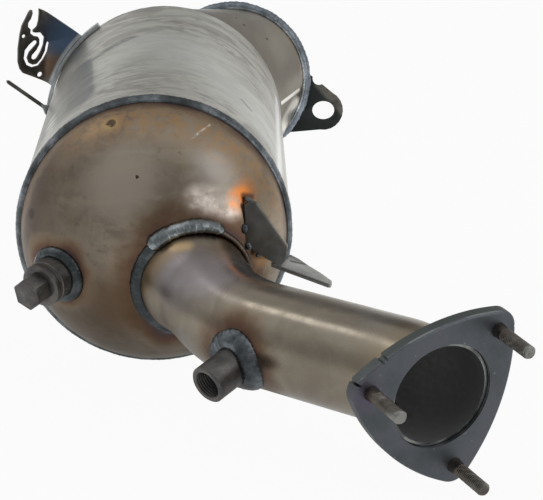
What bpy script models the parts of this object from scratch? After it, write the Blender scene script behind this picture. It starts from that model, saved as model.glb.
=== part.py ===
"""Diesel particulate filter: a round can with an outlet dome, a bent outlet pipe and a studded flange.

The can lies along Y. The outlet end faces -Y, the inlet end faces +Y, and +Z is up.
Sizes are in metres. CAN_FRAME has its origin at the centre of the can's front edge, and the
root empty lifts it so that the lowest point touches z = 0 under the middle of the part.
"""
from math import acos, cos, pi, radians, sin, sqrt, tan, tau

import bmesh
import bpy
from mathutils import Matrix, Vector

MM = 0.001

# Fits shared by all pieces
FIT_GAP = 0.3 * MM
SHEET = 1.5 * MM

# Can
CAN_RADIUS = 76.5 * MM
CAN_LENGTH = 255 * MM
SKIRT_LENGTH = 10 * MM
CAN_SIDES = 48

# Filter brick and its packing
BRICK_START = SKIRT_LENGTH + 16 * MM
MAT_THICKNESS = 2.5 * MM
SEGMENT_PITCH = 36 * MM
SEGMENT_JOINT_WIDTH = 1.2 * MM
SEGMENT_JOINT_DEPTH = 1.0 * MM
SEAL_RING_LENGTH = 6 * MM

# Outlet dome
DOME_HEIGHT = 50 * MM
DOME_RINGS = 9
RIM_WELD_WIDTH = 2.8 * MM
RIM_WELD_RISE = 1.2 * MM

# Outlet pipe: start inside the dome, first bend, second bend, flange
PIPE_RADIUS = 27.5 * MM
PIPE_FLARE = 2.5 * MM
PIPE_FLARE_START = 17 * MM
PIPE_FLARE_LENGTH = 18 * MM
PIPE_FLARE_STEPS = 2
PIPE_START = Vector((15.9, -27.9, -14.1)) * MM
PIPE_FIRST_BEND = Vector((46.6, -93.2, -25.9)) * MM
PIPE_FIRST_BEND_RADIUS = 110 * MM
PIPE_LAST_BEND_RADIUS = 75 * MM
PIPE_END_STRAIGHT = 21.4 * MM
PIPE_END_RECESS = 2.0 * MM
PIPE_ROOT_REACH = 4 * MM
PIPE_ROOT_SEARCH = 60 * MM
PIPE_SIDES = 24
PIPE_STEP = 11 * MM

# Outlet flange: seen from outside, three lobes round the bore
FLANGE_CENTRE = Vector((144.4, -197.5, -25.2)) * MM
FLANGE_TURN = radians(28.4)
FLANGE_DIP = radians(8.0)
FLANGE_ROLL = radians(-13.2)
FLANGE_THICKNESS = 6.5 * MM
STUD_CIRCLE_RADIUS = 42.15 * MM
LOBE_RADIUS = 10 * MM
FLANGE_SIDE_REACH = 38 * MM
LOBE_ANGLES = (radians(-60), radians(60), radians(180))
NOTCH_ANGLE = radians(157)
NOTCH_WIDTH = 3.4 * MM
NOTCH_REACH = 43.5 * MM
SLIT_WIDTH = 1.4 * MM
SLIT_REACH = 49.5 * MM
SLIT_ANGLES = (radians(52), radians(176))

# Flange studs
STUD_RADIUS = 4 * MM
STUD_REACH = 26.6 * MM
STUD_HEAD_RADIUS = 6.2 * MM
STUD_HEAD_HEIGHT = 3 * MM
STUD_TIP_CHAMFER = 0.8 * MM

# Sensor boss on the outlet pipe
BOSS_SUNK = 14 * MM
BOSS_CHAMFER = 0.8 * MM
PIPE_BOSS_DISTANCE = 96 * MM
PIPE_BOSS_ANGLE = radians(-17)
PIPE_BOSS_RADIUS = 10.5 * MM
PIPE_BOSS_BORE = 6.6 * MM
PIPE_BOSS_HEIGHT = 22 * MM

# Sensor boss on the dome, with the plug that closes it
DOME_BOSS_INSET = 20 * MM
DOME_BOSS_ANGLE = radians(197.1)
DOME_BOSS_RADIUS = 12 * MM
DOME_BOSS_BORE = 7.3 * MM
DOME_BOSS_HEIGHT = 10 * MM
WASHER_RADIUS = 12 * MM
WASHER_THICKNESS = 2 * MM
PLUG_FLANGE_RADIUS = 12.5 * MM
PLUG_FLANGE_THICKNESS = 3.5 * MM
PLUG_HEX_FLATS = 17 * MM
PLUG_HEX_HEIGHT = 11 * MM
PLUG_HEX_TURN = radians(8)
PLUG_CHAMFER = 1.5 * MM
PLUG_SHANK_RADIUS = DOME_BOSS_BORE - FIT_GAP
PLUG_SHANK_LENGTH = 9 * MM

# Weld beads
PIPE_WELD_RADIUS = 3.8 * MM
FLANGE_WELD_RADIUS = 2.4 * MM
PIPE_BOSS_WELD_RADIUS = 3.2 * MM
DOME_BOSS_WELD_RADIUS = 2.4 * MM
REAR_WELD_RADIUS = 1.0 * MM
REAR_WELD_RISE = 0.6 * MM
BEAD_SIDES = 6

# Bent bracket on the dome
DOME_BRACKET_SHEET = 3 * MM
DOME_BRACKET_SETBACK = 13.5 * MM
DOME_LEAF_OUTLINE = ((30, 0.5), (58.5, -7.5), (68.5, -10.5), (73.7, 0.5), (57, 25), (54, 26), (30, 8))
TAB_SLOPE = radians(21)
TAB_ROOT = Vector((60.0, 0.0, -6.0)) * MM
TAB_OUTLINE = ((0, 0), (40.5, 0), (41, 2.6), (21.5, 17), (17.6, 17), (17.6, 3.2), (0, 3.2))

# Inlet cone, ring weld and cap, about their own axis
INLET_SETBACK = 35 * MM
INLET_CENTRE = Vector((44.6 * MM, CAN_LENGTH + INLET_SETBACK, 19.2 * MM))
INLET_DIP = radians(12)
INLET_RADIUS = 47.5 * MM
INLET_COLLAR = 5 * MM
CONE_RINGS = 4
RING_WELD_WIDTH = 2.7 * MM
RING_WELD_RISE = 3.4 * MM
CAP_SHOULDER = 13 * MM
CAP_LENGTH = 34 * MM
NECK_RADIUS = 30 * MM
NECK_LENGTH = 14 * MM
CLAMP_FLANGE_RADIUS = NECK_RADIUS + 8 * MM
CLAMP_FLANGE_LIP = 3 * MM
CLAMP_FLANGE_WIDTH = 7 * MM

# Eye bracket beside the inlet ring
EYE_SHEET = 3 * MM
EYE_SETBACK = 8 * MM
EYE_REACH = INLET_RADIUS + 18 * MM
EYE_ANGLE = radians(-18.7)
EYE_CENTRE = (EYE_REACH * cos(EYE_ANGLE), EYE_REACH * sin(EYE_ANGLE))
EYE_RADIUS = 13.5 * MM
EYE_HOLE = (7.6 * MM, 6.2 * MM)
EYE_ROOT_ANGLES = (radians(-54), radians(3))
EYE_ARC = (radians(-100), radians(62))
EYE_SHOULDER = ((8.5 * MM, 1 * MM), (5 * MM, 3.5 * MM))

# Clip bracket with an S-shaped spring tongue, on a strap round the can's rear edge
# Its outlines are in mm: across the leaf, and out from the can's surface
CLIP_ANGLE = radians(151.4)
CLIP_SHEET = 2 * MM
CLIP_REAR = CAN_LENGTH - 0.5 * MM
CLIP_RIGHT_EDGE = ((24.5, 5.5), (26, 19), (27, 28.5), (26.8, 32.5), (25.4, 32.5))
CLIP_LEFT_EDGE = ((23.4, 37.7), (21.6, 38.1), (17, 38.1), (11.7, 38.2), (6.3, 36.9), (-3.3, 33.5),
                  (-11.1, 29.5), (-14.7, 26.2), (-16.2, 23.2), (-15.6, 13.8), (-15, 4.7))
CLIP_ROOT_SPREAD = (0.205, -0.305)
CLIP_SLOTS = {
    "mouth": (((15.4, 31.9), (19, 32.1), (23, 33.3), (29, 37)), (6.8, 5.6, 4.6, 4.8)),
    "upper": (((14.5, 31.5), (10.4, 30.1), (10.2, 27.4), (11.3, 24.7), (9.9, 21.9), (5.9, 20.2), (1.4, 20),
               (-3.4, 20.9)), (2.2, 2.0, 2.6, 3.4, 3.6, 3.0, 3.4, 4.2)),
    "lower": (((5.2, 25), (1.9, 26.2), (-2, 27.2), (-6.7, 26.1), (-9.5, 22.9), (-9.5, 19.2), (-7.2, 16.3),
               (-2.4, 15.1), (3.6, 15.3), (9, 16.7)), (3.4, 3.8, 3.6, 2.4, 2.0, 1.9, 1.9, 1.7, 1.6, 1.2)),
    "upper_pin": (((5.9, 33.9), (6.1, 34)), (2.6, 2.6)),
    "lower_pin": (((-12.6, 11.8), (-12.4, 11.8)), (3.6, 3.6)),
}
STRAP_THICKNESS = 2.5 * MM
STRAP_WIDTH = 8 * MM
STRAP_ANGLES = (radians(124), radians(179))
CLIP_FOLD = (Vector((26, 25)), Vector((-16, 7.5)))
CLIP_FOLD_ANGLE = radians(-24)

# Side tab
TAB_THICKNESS = 2.4 * MM
SIDE_TAB_Y = 193 * MM
SIDE_TAB_ANGLE = radians(164.1)
SIDE_TAB_SUNK = 2 * MM
SIDE_TAB_TURN = radians(144)
SIDE_TAB_LENGTH = 33.9 * MM
SIDE_TAB_WIDTH = 14 * MM
SIDE_TAB_LEAN = radians(-16.4)
SIDE_TAB_FOOT = 7 * MM

FINISHES = {
    "shell_steel": ((0.42, 0.42, 0.40), 0.38, 1.0),
    "dome_steel": ((0.30, 0.26, 0.22), 0.35, 1.0),
    "pipe_steel": ((0.34, 0.30, 0.26), 0.30, 1.0),
    "weld_steel": ((0.07, 0.08, 0.09), 0.50, 1.0),
    "flange_steel": ((0.09, 0.10, 0.10), 0.50, 1.0),
    "stud_steel": ((0.17, 0.16, 0.14), 0.45, 1.0),
    "bracket_steel": ((0.06, 0.06, 0.06), 0.45, 1.0),
    "filter_ceramic": ((0.10, 0.10, 0.10), 0.90, 0.0),
    "mat_fibre": ((0.75, 0.72, 0.62), 0.95, 0.0),
}


def clear_scene():
    """Remove every object the file starts with."""
    for old in list(bpy.data.objects):
        bpy.data.objects.remove(old, do_unlink=True)


def finish(name):
    """Return the named steel, ceramic or fibre material."""
    material = bpy.data.materials.get(name)
    if material:
        return material
    colour, roughness, metallic = FINISHES[name]
    material = bpy.data.materials.new(name)
    material.use_nodes = True
    shader = material.node_tree.nodes["Principled BSDF"]
    shader.inputs["Base Color"].default_value = (*colour, 1.0)
    shader.inputs["Roughness"].default_value = roughness
    shader.inputs["Metallic"].default_value = metallic
    return material


def add_piece(name, bm, material, smooth=radians(35)):
    """Turn a bmesh into a named object under the root, shaded smooth up to the given angle."""
    bmesh.ops.recalc_face_normals(bm, faces=bm.faces)
    if bm.calc_volume(signed=True) < 0:
        bmesh.ops.reverse_faces(bm, faces=bm.faces)
    mesh = bpy.data.meshes.new(name)
    bm.to_mesh(mesh)
    bm.free()
    mesh.materials.append(finish(material))
    mesh.shade_smooth()
    mesh.set_sharp_from_angle(angle=smooth)
    piece = bpy.data.objects.new(name, mesh)
    bpy.context.collection.objects.link(piece)
    piece.parent = ROOT
    return piece


def add_cutter(name, bm):
    """Make an object that only cuts others."""
    cutter = add_piece(name, bm, "weld_steel")
    cutter.hide_render = True
    cutter.display_type = 'WIRE'
    return cutter


def cut(piece, cutter, operation='DIFFERENCE'):
    """Cut a piece with a cutter, or join one to it."""
    step = piece.modifiers.new(cutter.name, 'BOOLEAN')
    step.operation = operation
    step.solver = 'EXACT'
    step.object = cutter


def thicken(piece, thickness):
    """Give a surface an inner wall."""
    wall = piece.modifiers.new("wall", 'SOLIDIFY')
    wall.thickness = thickness
    wall.offset = -1
    wall.use_even_offset = True


def axis_frame(origin, axis, up=Vector((0, 0, 1))):
    """Frame whose Z runs along an axis and whose Y leans towards up."""
    z = axis.normalized()
    y = (up - z * up.dot(z)).normalized()
    x = y.cross(z)
    turned = Matrix((x, y, z)).transposed().to_4x4()
    return Matrix.Translation(origin) @ turned


def ring_points(radius, sides, angle=0.0):
    """Points of a circle in the XY plane."""
    turns = [angle + tau * i / sides for i in range(sides)]
    return [Vector((radius * cos(t), radius * sin(t), 0)) for t in turns]


def revolve(profile, place, sides=CAN_SIDES):
    """Turn a (radius, height) profile about local Z; a profile that meets the axis stays open there."""
    bm = bmesh.new()
    points = [bm.verts.new((radius, 0, height)) for radius, height in profile]
    pairs = list(zip(points, points[1:] + points[:1]))
    edges = [bm.edges.new((a, b)) for a, b in pairs if a.co.x > 0 or b.co.x > 0]
    bmesh.ops.spin(bm, geom=points + edges, cent=(0, 0, 0), axis=(0, 0, 1), angle=tau,
                   steps=sides, use_merge=True)
    bmesh.ops.remove_doubles(bm, verts=bm.verts, dist=0.01 * MM)
    bm.transform(place)
    return bm


def oval_profile(radius, height, half_width, half_height, sides=BEAD_SIDES):
    """Closed oval section of a ring, half_width along the radius."""
    turns = [tau * i / sides for i in range(sides)]
    return [(radius + half_width * cos(t), height + half_height * sin(t)) for t in turns]


def loft(rings, close_path=False, cap=False):
    """Skin a row of rings that have the same number of points."""
    bm = bmesh.new()
    rows = [[bm.verts.new(point) for point in ring] for ring in rings]
    pairs = list(zip(rows, rows[1:]))
    if close_path:
        pairs.append((rows[-1], rows[0]))
    for first, second in pairs:
        for i in range(len(first)):
            j = (i + 1) % len(first)
            bm.faces.new((first[i], first[j], second[j], second[i]))
    if cap:
        bm.faces.new(rows[0])
        bm.faces.new(rows[-1])
    return bm


def extrude_outline(outline, depth, place):
    """Plate from an outline in the XY plane, thickened along local Z."""
    bm = bmesh.new()
    face = bm.faces.new([bm.verts.new((x, y, 0)) for x, y in outline])
    made = bmesh.ops.extrude_face_region(bm, geom=[face])["geom"]
    moved = [part for part in made if isinstance(part, bmesh.types.BMVert)]
    bmesh.ops.translate(bm, verts=moved, vec=(0, 0, depth))
    bm.transform(place)
    return bm


def cylinder(radius, low, high, place, sides=24, top_radius=None):
    """Solid cylinder or cone along local Z."""
    bm = bmesh.new()
    lift = Matrix.Translation((0, 0, (low + high) / 2))
    bmesh.ops.create_cone(bm, cap_ends=True, segments=sides, radius1=radius,
                          radius2=radius if top_radius is None else top_radius,
                          depth=high - low, matrix=place @ lift)
    return bm


def arc(centre, radius, start, end, steps):
    """Points of an arc, both ends included."""
    turns = [start + (end - start) * i / steps for i in range(steps + 1)]
    return [(centre[0] + radius * cos(t), centre[1] + radius * sin(t)) for t in turns]


def stroke(points, widths, cap_steps=4):
    """Outline of a slot that follows points, with its own width at each and round ends."""
    spots = [Vector(point) for point in points]
    sides = []
    for i, spot in enumerate(spots):
        before = spots[max(i - 1, 0)]
        after = spots[min(i + 1, len(spots) - 1)]
        run = (after - before).normalized()
        sides.append((spot, Vector((-run.y, run.x)), widths[i] / 2))
    outline = [spot + normal * half for spot, normal, half in sides]
    spot, normal, half = sides[-1]
    outline += cap_points(spot, normal, half, cap_steps)
    outline += [spot - normal * half for spot, normal, half in reversed(sides)]
    spot, normal, half = sides[0]
    outline += cap_points(spot, -normal, half, cap_steps)
    return [(point.x, point.y) for point in outline]


def cap_points(spot, normal, half, steps):
    """Half circle that ends a slot, from one side to the other."""
    ahead = Vector((normal.y, -normal.x))
    turns = [pi * i / steps for i in range(1, steps)]
    return [spot + (normal * cos(t) + ahead * sin(t)) * half for t in turns]


def bent_path(corners, radii, step):
    """Points and directions along straight runs joined by round bends."""
    points = [corners[0]]
    for before, corner, after, radius in zip(corners, corners[1:], corners[2:], radii):
        back = (before - corner).normalized()
        ahead = (after - corner).normalized()
        turn = acos(max(-1, min(1, -back.dot(ahead))))
        start = corner + back * radius * tan(turn / 2)
        inward = (back + ahead).normalized()
        centre = corner + inward * radius / cos(turn / 2)
        count = max(2, round(radius * turn / step))
        for i in range(count + 1):
            angle = turn * i / count
            points.append(centre + (start - centre) * cos(angle) - back * radius * sin(angle))
    points.append(corners[-1])
    runs = [(b - a).normalized() for a, b in zip(points, points[1:])]
    directions = [runs[0]]
    directions += [(a + b).normalized() for a, b in zip(runs, runs[1:])]
    directions.append((corners[-1] - corners[-2]).normalized())
    return points, directions


def path_frames(points, directions):
    """Frames along a path that do not twist."""
    frames = []
    up = Vector((0, 0, 1))
    for point, direction in zip(points, directions):
        frame = axis_frame(point, direction, up)
        up = frame.col[1].to_3d()
        frames.append(frame)
    return frames


def pipe_frames():
    """Frames of the outlet pipe, with more of them where its root opens out."""
    points, directions = bent_path(PIPE_CORNERS, (PIPE_FIRST_BEND_RADIUS, PIPE_LAST_BEND_RADIUS), PIPE_STEP)
    steps = range(PIPE_FLARE_STEPS + 1)
    spots = [PIPE_FLARE_START + PIPE_FLARE_LENGTH * i / PIPE_FLARE_STEPS for i in steps]
    extra = [points[0] + directions[0] * spot for spot in spots]
    points[1:1] = extra
    directions[1:1] = [directions[0]] * len(extra)
    return path_frames(points, directions)


def frame_along(frames, distance):
    """Frame at a distance from the start of a path."""
    left = distance
    for first, second in zip(frames, frames[1:]):
        run = (second.translation - first.translation).length
        if left <= run:
            break
        left -= run
    return first.lerp(second, left / run) if run else first


def pipe_radius(distance):
    """Outer radius of the outlet pipe, which is opened out towards the dome."""
    share = (distance - PIPE_FLARE_START) / PIPE_FLARE_LENGTH
    share = max(0, min(1, share))
    return PIPE_RADIUS + PIPE_FLARE * (1 + cos(pi * share)) / 2


def pipe_rings(frames, extra):
    """Sections of the outlet pipe, each at its own radius."""
    rings = []
    distance = 0
    for i, frame in enumerate(frames):
        if i:
            distance += (frame.translation - frames[i - 1].translation).length
        rings.append([frame @ p for p in ring_points(pipe_radius(distance) + extra, PIPE_SIDES)])
    return rings


def ellipsoid_gap(offset):
    """Signed test for the dome's outer face moved outward by an offset, below zero inside."""
    radius = DOME_RADIUS + offset
    height = DOME_HEIGHT + offset
    return lambda p: (p.x ** 2 + p.z ** 2) / radius ** 2 + (min(p.y, 0) / height) ** 2 - 1


def tube_gap(frame, offset):
    """Signed test for the outlet pipe's outer face near a frame, moved outward by an offset."""
    inverse = frame.inverted()
    radius = PIPE_RADIUS + offset

    def measure(p):
        local = inverse @ p
        return local.x ** 2 + local.y ** 2 - radius ** 2
    return measure


def seat_loop(frame_at, radius_at, surface, low, high, steps):
    """Points round an axis, each slid along it until it meets a surface."""
    loop = []
    for spoke in ring_points(1, steps):
        inside, outside = low, high
        for _ in range(30):
            middle = (inside + outside) / 2
            if surface(frame_at(middle) @ (spoke * radius_at(middle))) < 0:
                inside = middle
            else:
                outside = middle
        loop.append(frame_at(outside) @ (spoke * radius_at(outside)))
    return loop


def bead(loop, radius, centre):
    """Round weld bead along a closed loop."""
    rings = []
    for i, point in enumerate(loop):
        run = (loop[(i + 1) % len(loop)] - loop[i - 1]).normalized()
        outward = (point - centre)
        outward = (outward - run * outward.dot(run)).normalized()
        side = run.cross(outward)
        turns = [tau * k / BEAD_SIDES for k in range(BEAD_SIDES)]
        rings.append([point + (outward * cos(t) + side * sin(t)) * radius for t in turns])
    return loft(rings, close_path=True)


clear_scene()
ROOT = bpy.data.objects.new("root", None)
bpy.context.collection.objects.link(ROOT)

# Frames that several pieces share
CAN_FRAME = axis_frame(Vector((0, 0, 0)), Vector((0, 1, 0)))
CAN_INNER_RADIUS = CAN_RADIUS - SHEET
DOME_RADIUS = CAN_INNER_RADIUS - FIT_GAP
DOME_BRACKET_FRONT = DOME_BRACKET_SETBACK - DOME_HEIGHT
FLANGE_NORMAL = Vector((sin(FLANGE_TURN) * cos(FLANGE_DIP), -cos(FLANGE_TURN) * cos(FLANGE_DIP),
                        -sin(FLANGE_DIP)))
FLANGE_FRAME = axis_frame(FLANGE_CENTRE, FLANGE_NORMAL) @ Matrix.Rotation(FLANGE_ROLL, 4, 'Z')
PIPE_CORNERS = [PIPE_START, PIPE_FIRST_BEND, FLANGE_CENTRE - FLANGE_NORMAL * PIPE_END_STRAIGHT,
                FLANGE_CENTRE - FLANGE_NORMAL * PIPE_END_RECESS]
PIPE_FRAMES = pipe_frames()
PIPE_ROOT_FRAMES = PIPE_FRAMES[:PIPE_FLARE_STEPS + 3]
INLET_AXIS = Vector((0, cos(INLET_DIP), -sin(INLET_DIP)))
INLET_FRAME = axis_frame(INLET_CENTRE, INLET_AXIS)
INLET_FROM_FRONT = INLET_FRAME @ Matrix.Rotation(pi, 4, 'Y')


def dome_boss_frame():
    """Frame on the dome's outer face, with Z along the face's outward direction."""
    offset = DOME_RADIUS - DOME_BOSS_INSET
    depth = DOME_HEIGHT * sqrt(1 - (offset / DOME_RADIUS) ** 2)
    foot = Vector((offset * cos(DOME_BOSS_ANGLE), -depth, offset * sin(DOME_BOSS_ANGLE)))
    outward = Vector((foot.x / DOME_RADIUS ** 2, foot.y / DOME_HEIGHT ** 2, foot.z / DOME_RADIUS ** 2))
    return axis_frame(foot, outward)


def pipe_boss_frame():
    """Frame on the outlet pipe's outer face, with Z square to the pipe."""
    spot = frame_along(PIPE_FRAMES, PIPE_BOSS_DISTANCE)
    side = spot.col[2].to_3d().cross(Vector((0, 0, 1))).normalized()
    above = side.cross(spot.col[2].to_3d())
    outward = side * cos(PIPE_BOSS_ANGLE) + above * sin(PIPE_BOSS_ANGLE)
    return spot, axis_frame(spot.translation + outward * PIPE_RADIUS, outward)


def add_can():
    """Rolled sheet can, open at both ends."""
    wall = [(CAN_RADIUS, 0), (CAN_RADIUS, CAN_LENGTH), (CAN_INNER_RADIUS, CAN_LENGTH), (CAN_INNER_RADIUS, 0)]
    add_piece("can_shell", revolve(wall, CAN_FRAME), "shell_steel")


def add_dome():
    """Pressed outlet dome whose skirt slides into the can, with holes for the pipe and the boss."""
    turns = [pi / 2 * i / DOME_RINGS for i in range(DOME_RINGS)]
    heights = [(DOME_RADIUS, SKIRT_LENGTH)] + [(DOME_RADIUS * cos(t), -DOME_HEIGHT * sin(t)) for t in turns]
    rings = [[CAN_FRAME @ (p + Vector((0, 0, y))) for p in ring_points(radius, CAN_SIDES)]
             for radius, y in heights]
    bm = loft(rings)
    apex = bm.verts.new(CAN_FRAME @ Vector((0, 0, -DOME_HEIGHT)))
    bm.verts.ensure_lookup_table()
    last = [bm.verts[i] for i in range(len(heights) * CAN_SIDES - CAN_SIDES, len(heights) * CAN_SIDES)]
    for a, b in zip(last, last[1:] + last[:1]):
        bm.faces.new((a, b, apex))
    dome = add_piece("outlet_dome", bm, "dome_steel")
    thicken(dome, SHEET)
    cut(dome, add_cutter("cut_pipe_hole", loft(pipe_rings(PIPE_ROOT_FRAMES, FIT_GAP), cap=True)))
    boss_hole = cylinder(DOME_BOSS_BORE, -20 * MM, 10 * MM, dome_boss_frame(), 20)
    cut(dome, add_cutter("cut_dome_boss_hole", boss_hole))
    section = oval_profile(CAN_INNER_RADIUS + RIM_WELD_RISE, -FIT_GAP - RIM_WELD_WIDTH, RIM_WELD_RISE,
                           RIM_WELD_WIDTH)
    add_piece("dome_rim_weld", revolve(section, CAN_FRAME), "weld_steel")


def dome_envelope(name, offset):
    """Cutter with the dome's outer form, moved outward by an offset."""
    bm = bmesh.new()
    bmesh.ops.create_uvsphere(bm, u_segments=CAN_SIDES, v_segments=24, radius=1)
    radius = DOME_RADIUS + offset
    bm.transform(CAN_FRAME @ Matrix.Diagonal((radius, radius, DOME_HEIGHT + offset, 1)))
    return add_cutter(name, bm)


def add_pipe():
    """Bent outlet pipe: trimmed inside the dome, drilled under its boss, open at the flange."""
    pipe = add_piece("outlet_pipe", loft(pipe_rings(PIPE_FRAMES, 0)), "pipe_steel")
    thicken(pipe, SHEET)
    cut(pipe, dome_envelope("cut_pipe_root", -SHEET - PIPE_ROOT_REACH))
    spot, boss = pipe_boss_frame()
    cut(pipe, add_cutter("cut_pipe_boss_hole", cylinder(PIPE_BOSS_BORE, -8 * MM, 8 * MM, boss, 20)))
    reach = PIPE_WELD_RADIUS + FIT_GAP
    loop = seat_loop(lambda s: frame_along(PIPE_FRAMES, s), lambda s: pipe_radius(s) + reach,
                     ellipsoid_gap(reach), 0, PIPE_ROOT_SEARCH, 28)
    centre = sum(loop, Vector()) / len(loop)
    add_piece("outlet_pipe_weld", bead(loop, PIPE_WELD_RADIUS, centre), "weld_steel", radians(60))


def flange_outline():
    """Rounded triangle: three lobe arcs joined by wide arcs that touch them."""
    drop = STUD_CIRCLE_RADIUS * cos(pi / 3)
    half = STUD_CIRCLE_RADIUS * sin(pi / 3)
    slack = FLANGE_SIDE_REACH - LOBE_RADIUS
    shift = (drop ** 2 + half ** 2 - slack ** 2) / (2 * (slack - drop))
    side_radius = FLANGE_SIDE_REACH + shift
    swing = acos((shift + drop) / (side_radius - LOBE_RADIUS))
    outline = []
    for angle in LOBE_ANGLES:
        lobe = (STUD_CIRCLE_RADIUS * cos(angle), STUD_CIRCLE_RADIUS * sin(angle))
        half_turn = pi / 3 - swing
        outline += arc(lobe, LOBE_RADIUS, angle - half_turn, angle + half_turn, 6)
        middle = angle + pi / 3
        centre = (-shift * cos(middle), -shift * sin(middle))
        outline += arc(centre, side_radius, middle - swing, middle + swing, 8)[1:-1]
    return outline


def add_flange():
    """Three-lobed flange plate with its bore, stud holes, notch and slits, and the weld behind it."""
    plate = extrude_outline(flange_outline(), -FLANGE_THICKNESS, FLANGE_FRAME)
    flange = add_piece("outlet_flange", plate, "flange_steel")
    low, high = -FLANGE_THICKNESS - 2 * MM, 2 * MM
    bore = cylinder(PIPE_RADIUS + FIT_GAP, low, high, FLANGE_FRAME, 32)
    cut(flange, add_cutter("cut_flange_bore", bore))
    for i, angle in enumerate(LOBE_ANGLES):
        spot = Matrix.Translation((STUD_CIRCLE_RADIUS * cos(angle), STUD_CIRCLE_RADIUS * sin(angle), 0))
        hole = cylinder(STUD_RADIUS + FIT_GAP, low, high, FLANGE_FRAME @ spot, 16)
        cut(flange, add_cutter(f"cut_stud_hole_{i + 1}", hole))
        add_stud(i + 1, FLANGE_FRAME @ spot)
    beyond = 1.3 * (STUD_CIRCLE_RADIUS + LOBE_RADIUS)
    deep = FLANGE_FRAME @ Matrix.Translation((0, 0, low))
    slots = [(NOTCH_ANGLE, NOTCH_REACH, NOTCH_WIDTH)]
    slots += [(angle, SLIT_REACH, SLIT_WIDTH) for angle in SLIT_ANGLES]
    for i, (angle, reach, width) in enumerate(slots):
        run = [(reach * cos(angle), reach * sin(angle)), (beyond * cos(angle), beyond * sin(angle))]
        shape = extrude_outline(stroke(run, (width, width)), high - low, deep)
        cut(flange, add_cutter(f"cut_flange_slot_{i + 1}", shape))
    reach = FLANGE_WELD_RADIUS + FIT_GAP
    section = oval_profile(PIPE_RADIUS + reach, -FLANGE_THICKNESS - reach, FLANGE_WELD_RADIUS,
                           FLANGE_WELD_RADIUS)
    add_piece("outlet_flange_weld", revolve(section, FLANGE_FRAME, 32), "weld_steel", radians(60))


def add_stud(number, place):
    """Stud pressed in from behind, with a flat head against the plate's back."""
    head_top = -FLANGE_THICKNESS - FIT_GAP
    profile = [(0, head_top - STUD_HEAD_HEIGHT), (STUD_HEAD_RADIUS, head_top - STUD_HEAD_HEIGHT),
               (STUD_HEAD_RADIUS, head_top), (STUD_RADIUS, head_top),
               (STUD_RADIUS, STUD_REACH - STUD_TIP_CHAMFER), (STUD_RADIUS - STUD_TIP_CHAMFER, STUD_REACH),
               (0, STUD_REACH)]
    add_piece(f"flange_stud_{number}", revolve(profile, place, 16), "stud_steel")


def add_boss(name, place, radius, bore, height, trim):
    """Drilled sensor boss whose foot is trimmed to the face that it stands on."""
    rim = height - BOSS_CHAMFER
    profile = [(radius, -BOSS_SUNK), (radius, rim), (radius - BOSS_CHAMFER, height),
               (bore + BOSS_CHAMFER, height), (bore, rim), (bore, -BOSS_SUNK)]
    boss = add_piece(name, revolve(profile, place, 24), "stud_steel")
    cut(boss, trim)


def add_pipe_boss():
    """Open sensor boss on the outlet pipe."""
    spot, place = pipe_boss_frame()
    trim = cylinder(PIPE_RADIUS + FIT_GAP, -40 * MM, 40 * MM, spot, 48)
    add_boss("pipe_sensor_boss", place, PIPE_BOSS_RADIUS, PIPE_BOSS_BORE, PIPE_BOSS_HEIGHT,
             add_cutter("cut_pipe_boss_foot", trim))
    reach = PIPE_BOSS_WELD_RADIUS + FIT_GAP
    loop = seat_loop(lambda s: place @ Matrix.Translation((0, 0, s)), lambda s: PIPE_BOSS_RADIUS + reach,
                     tube_gap(spot, reach), -15 * MM, 15 * MM, 24)
    bm = bead(loop, PIPE_BOSS_WELD_RADIUS, place.translation)
    add_piece("pipe_boss_weld", bm, "weld_steel", radians(60))


def add_dome_boss():
    """Sensor boss on the dome, closed by a hex plug on a sealing washer."""
    place = dome_boss_frame()
    add_boss("dome_sensor_boss", place, DOME_BOSS_RADIUS, DOME_BOSS_BORE, DOME_BOSS_HEIGHT,
             dome_envelope("cut_dome_boss_foot", FIT_GAP))
    reach = DOME_BOSS_WELD_RADIUS + FIT_GAP
    loop = seat_loop(lambda s: place @ Matrix.Translation((0, 0, s)), lambda s: DOME_BOSS_RADIUS + reach,
                     ellipsoid_gap(reach), -20 * MM, 15 * MM, 24)
    bm = bead(loop, DOME_BOSS_WELD_RADIUS, place.translation)
    add_piece("dome_boss_weld", bm, "weld_steel", radians(60))
    washer_foot = DOME_BOSS_HEIGHT + FIT_GAP
    washer_top = washer_foot + WASHER_THICKNESS
    ring = [(WASHER_RADIUS, washer_foot), (WASHER_RADIUS, washer_top),
            (DOME_BOSS_BORE, washer_top), (DOME_BOSS_BORE, washer_foot)]
    add_piece("dome_plug_washer", revolve(ring, place, 24), "stud_steel")
    foot = washer_top + FIT_GAP
    shoulder = foot + PLUG_FLANGE_THICKNESS
    body = [(0, foot - PLUG_SHANK_LENGTH), (PLUG_SHANK_RADIUS, foot - PLUG_SHANK_LENGTH),
            (PLUG_SHANK_RADIUS, foot), (PLUG_FLANGE_RADIUS, foot),
            (PLUG_FLANGE_RADIUS, shoulder - PLUG_CHAMFER), (PLUG_FLANGE_RADIUS - PLUG_CHAMFER, shoulder),
            (0, shoulder)]
    plug = add_piece("dome_boss_plug", revolve(body, place, 24), "stud_steel")
    corner = PLUG_HEX_FLATS / 2 / cos(pi / 6)
    turned = place @ Matrix.Rotation(PLUG_HEX_TURN, 4, 'Z')
    head = cylinder(corner, shoulder - PLUG_CHAMFER, shoulder + PLUG_HEX_HEIGHT, turned, 6)
    cut(plug, add_cutter("join_plug_hex", head), 'UNION')


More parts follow.
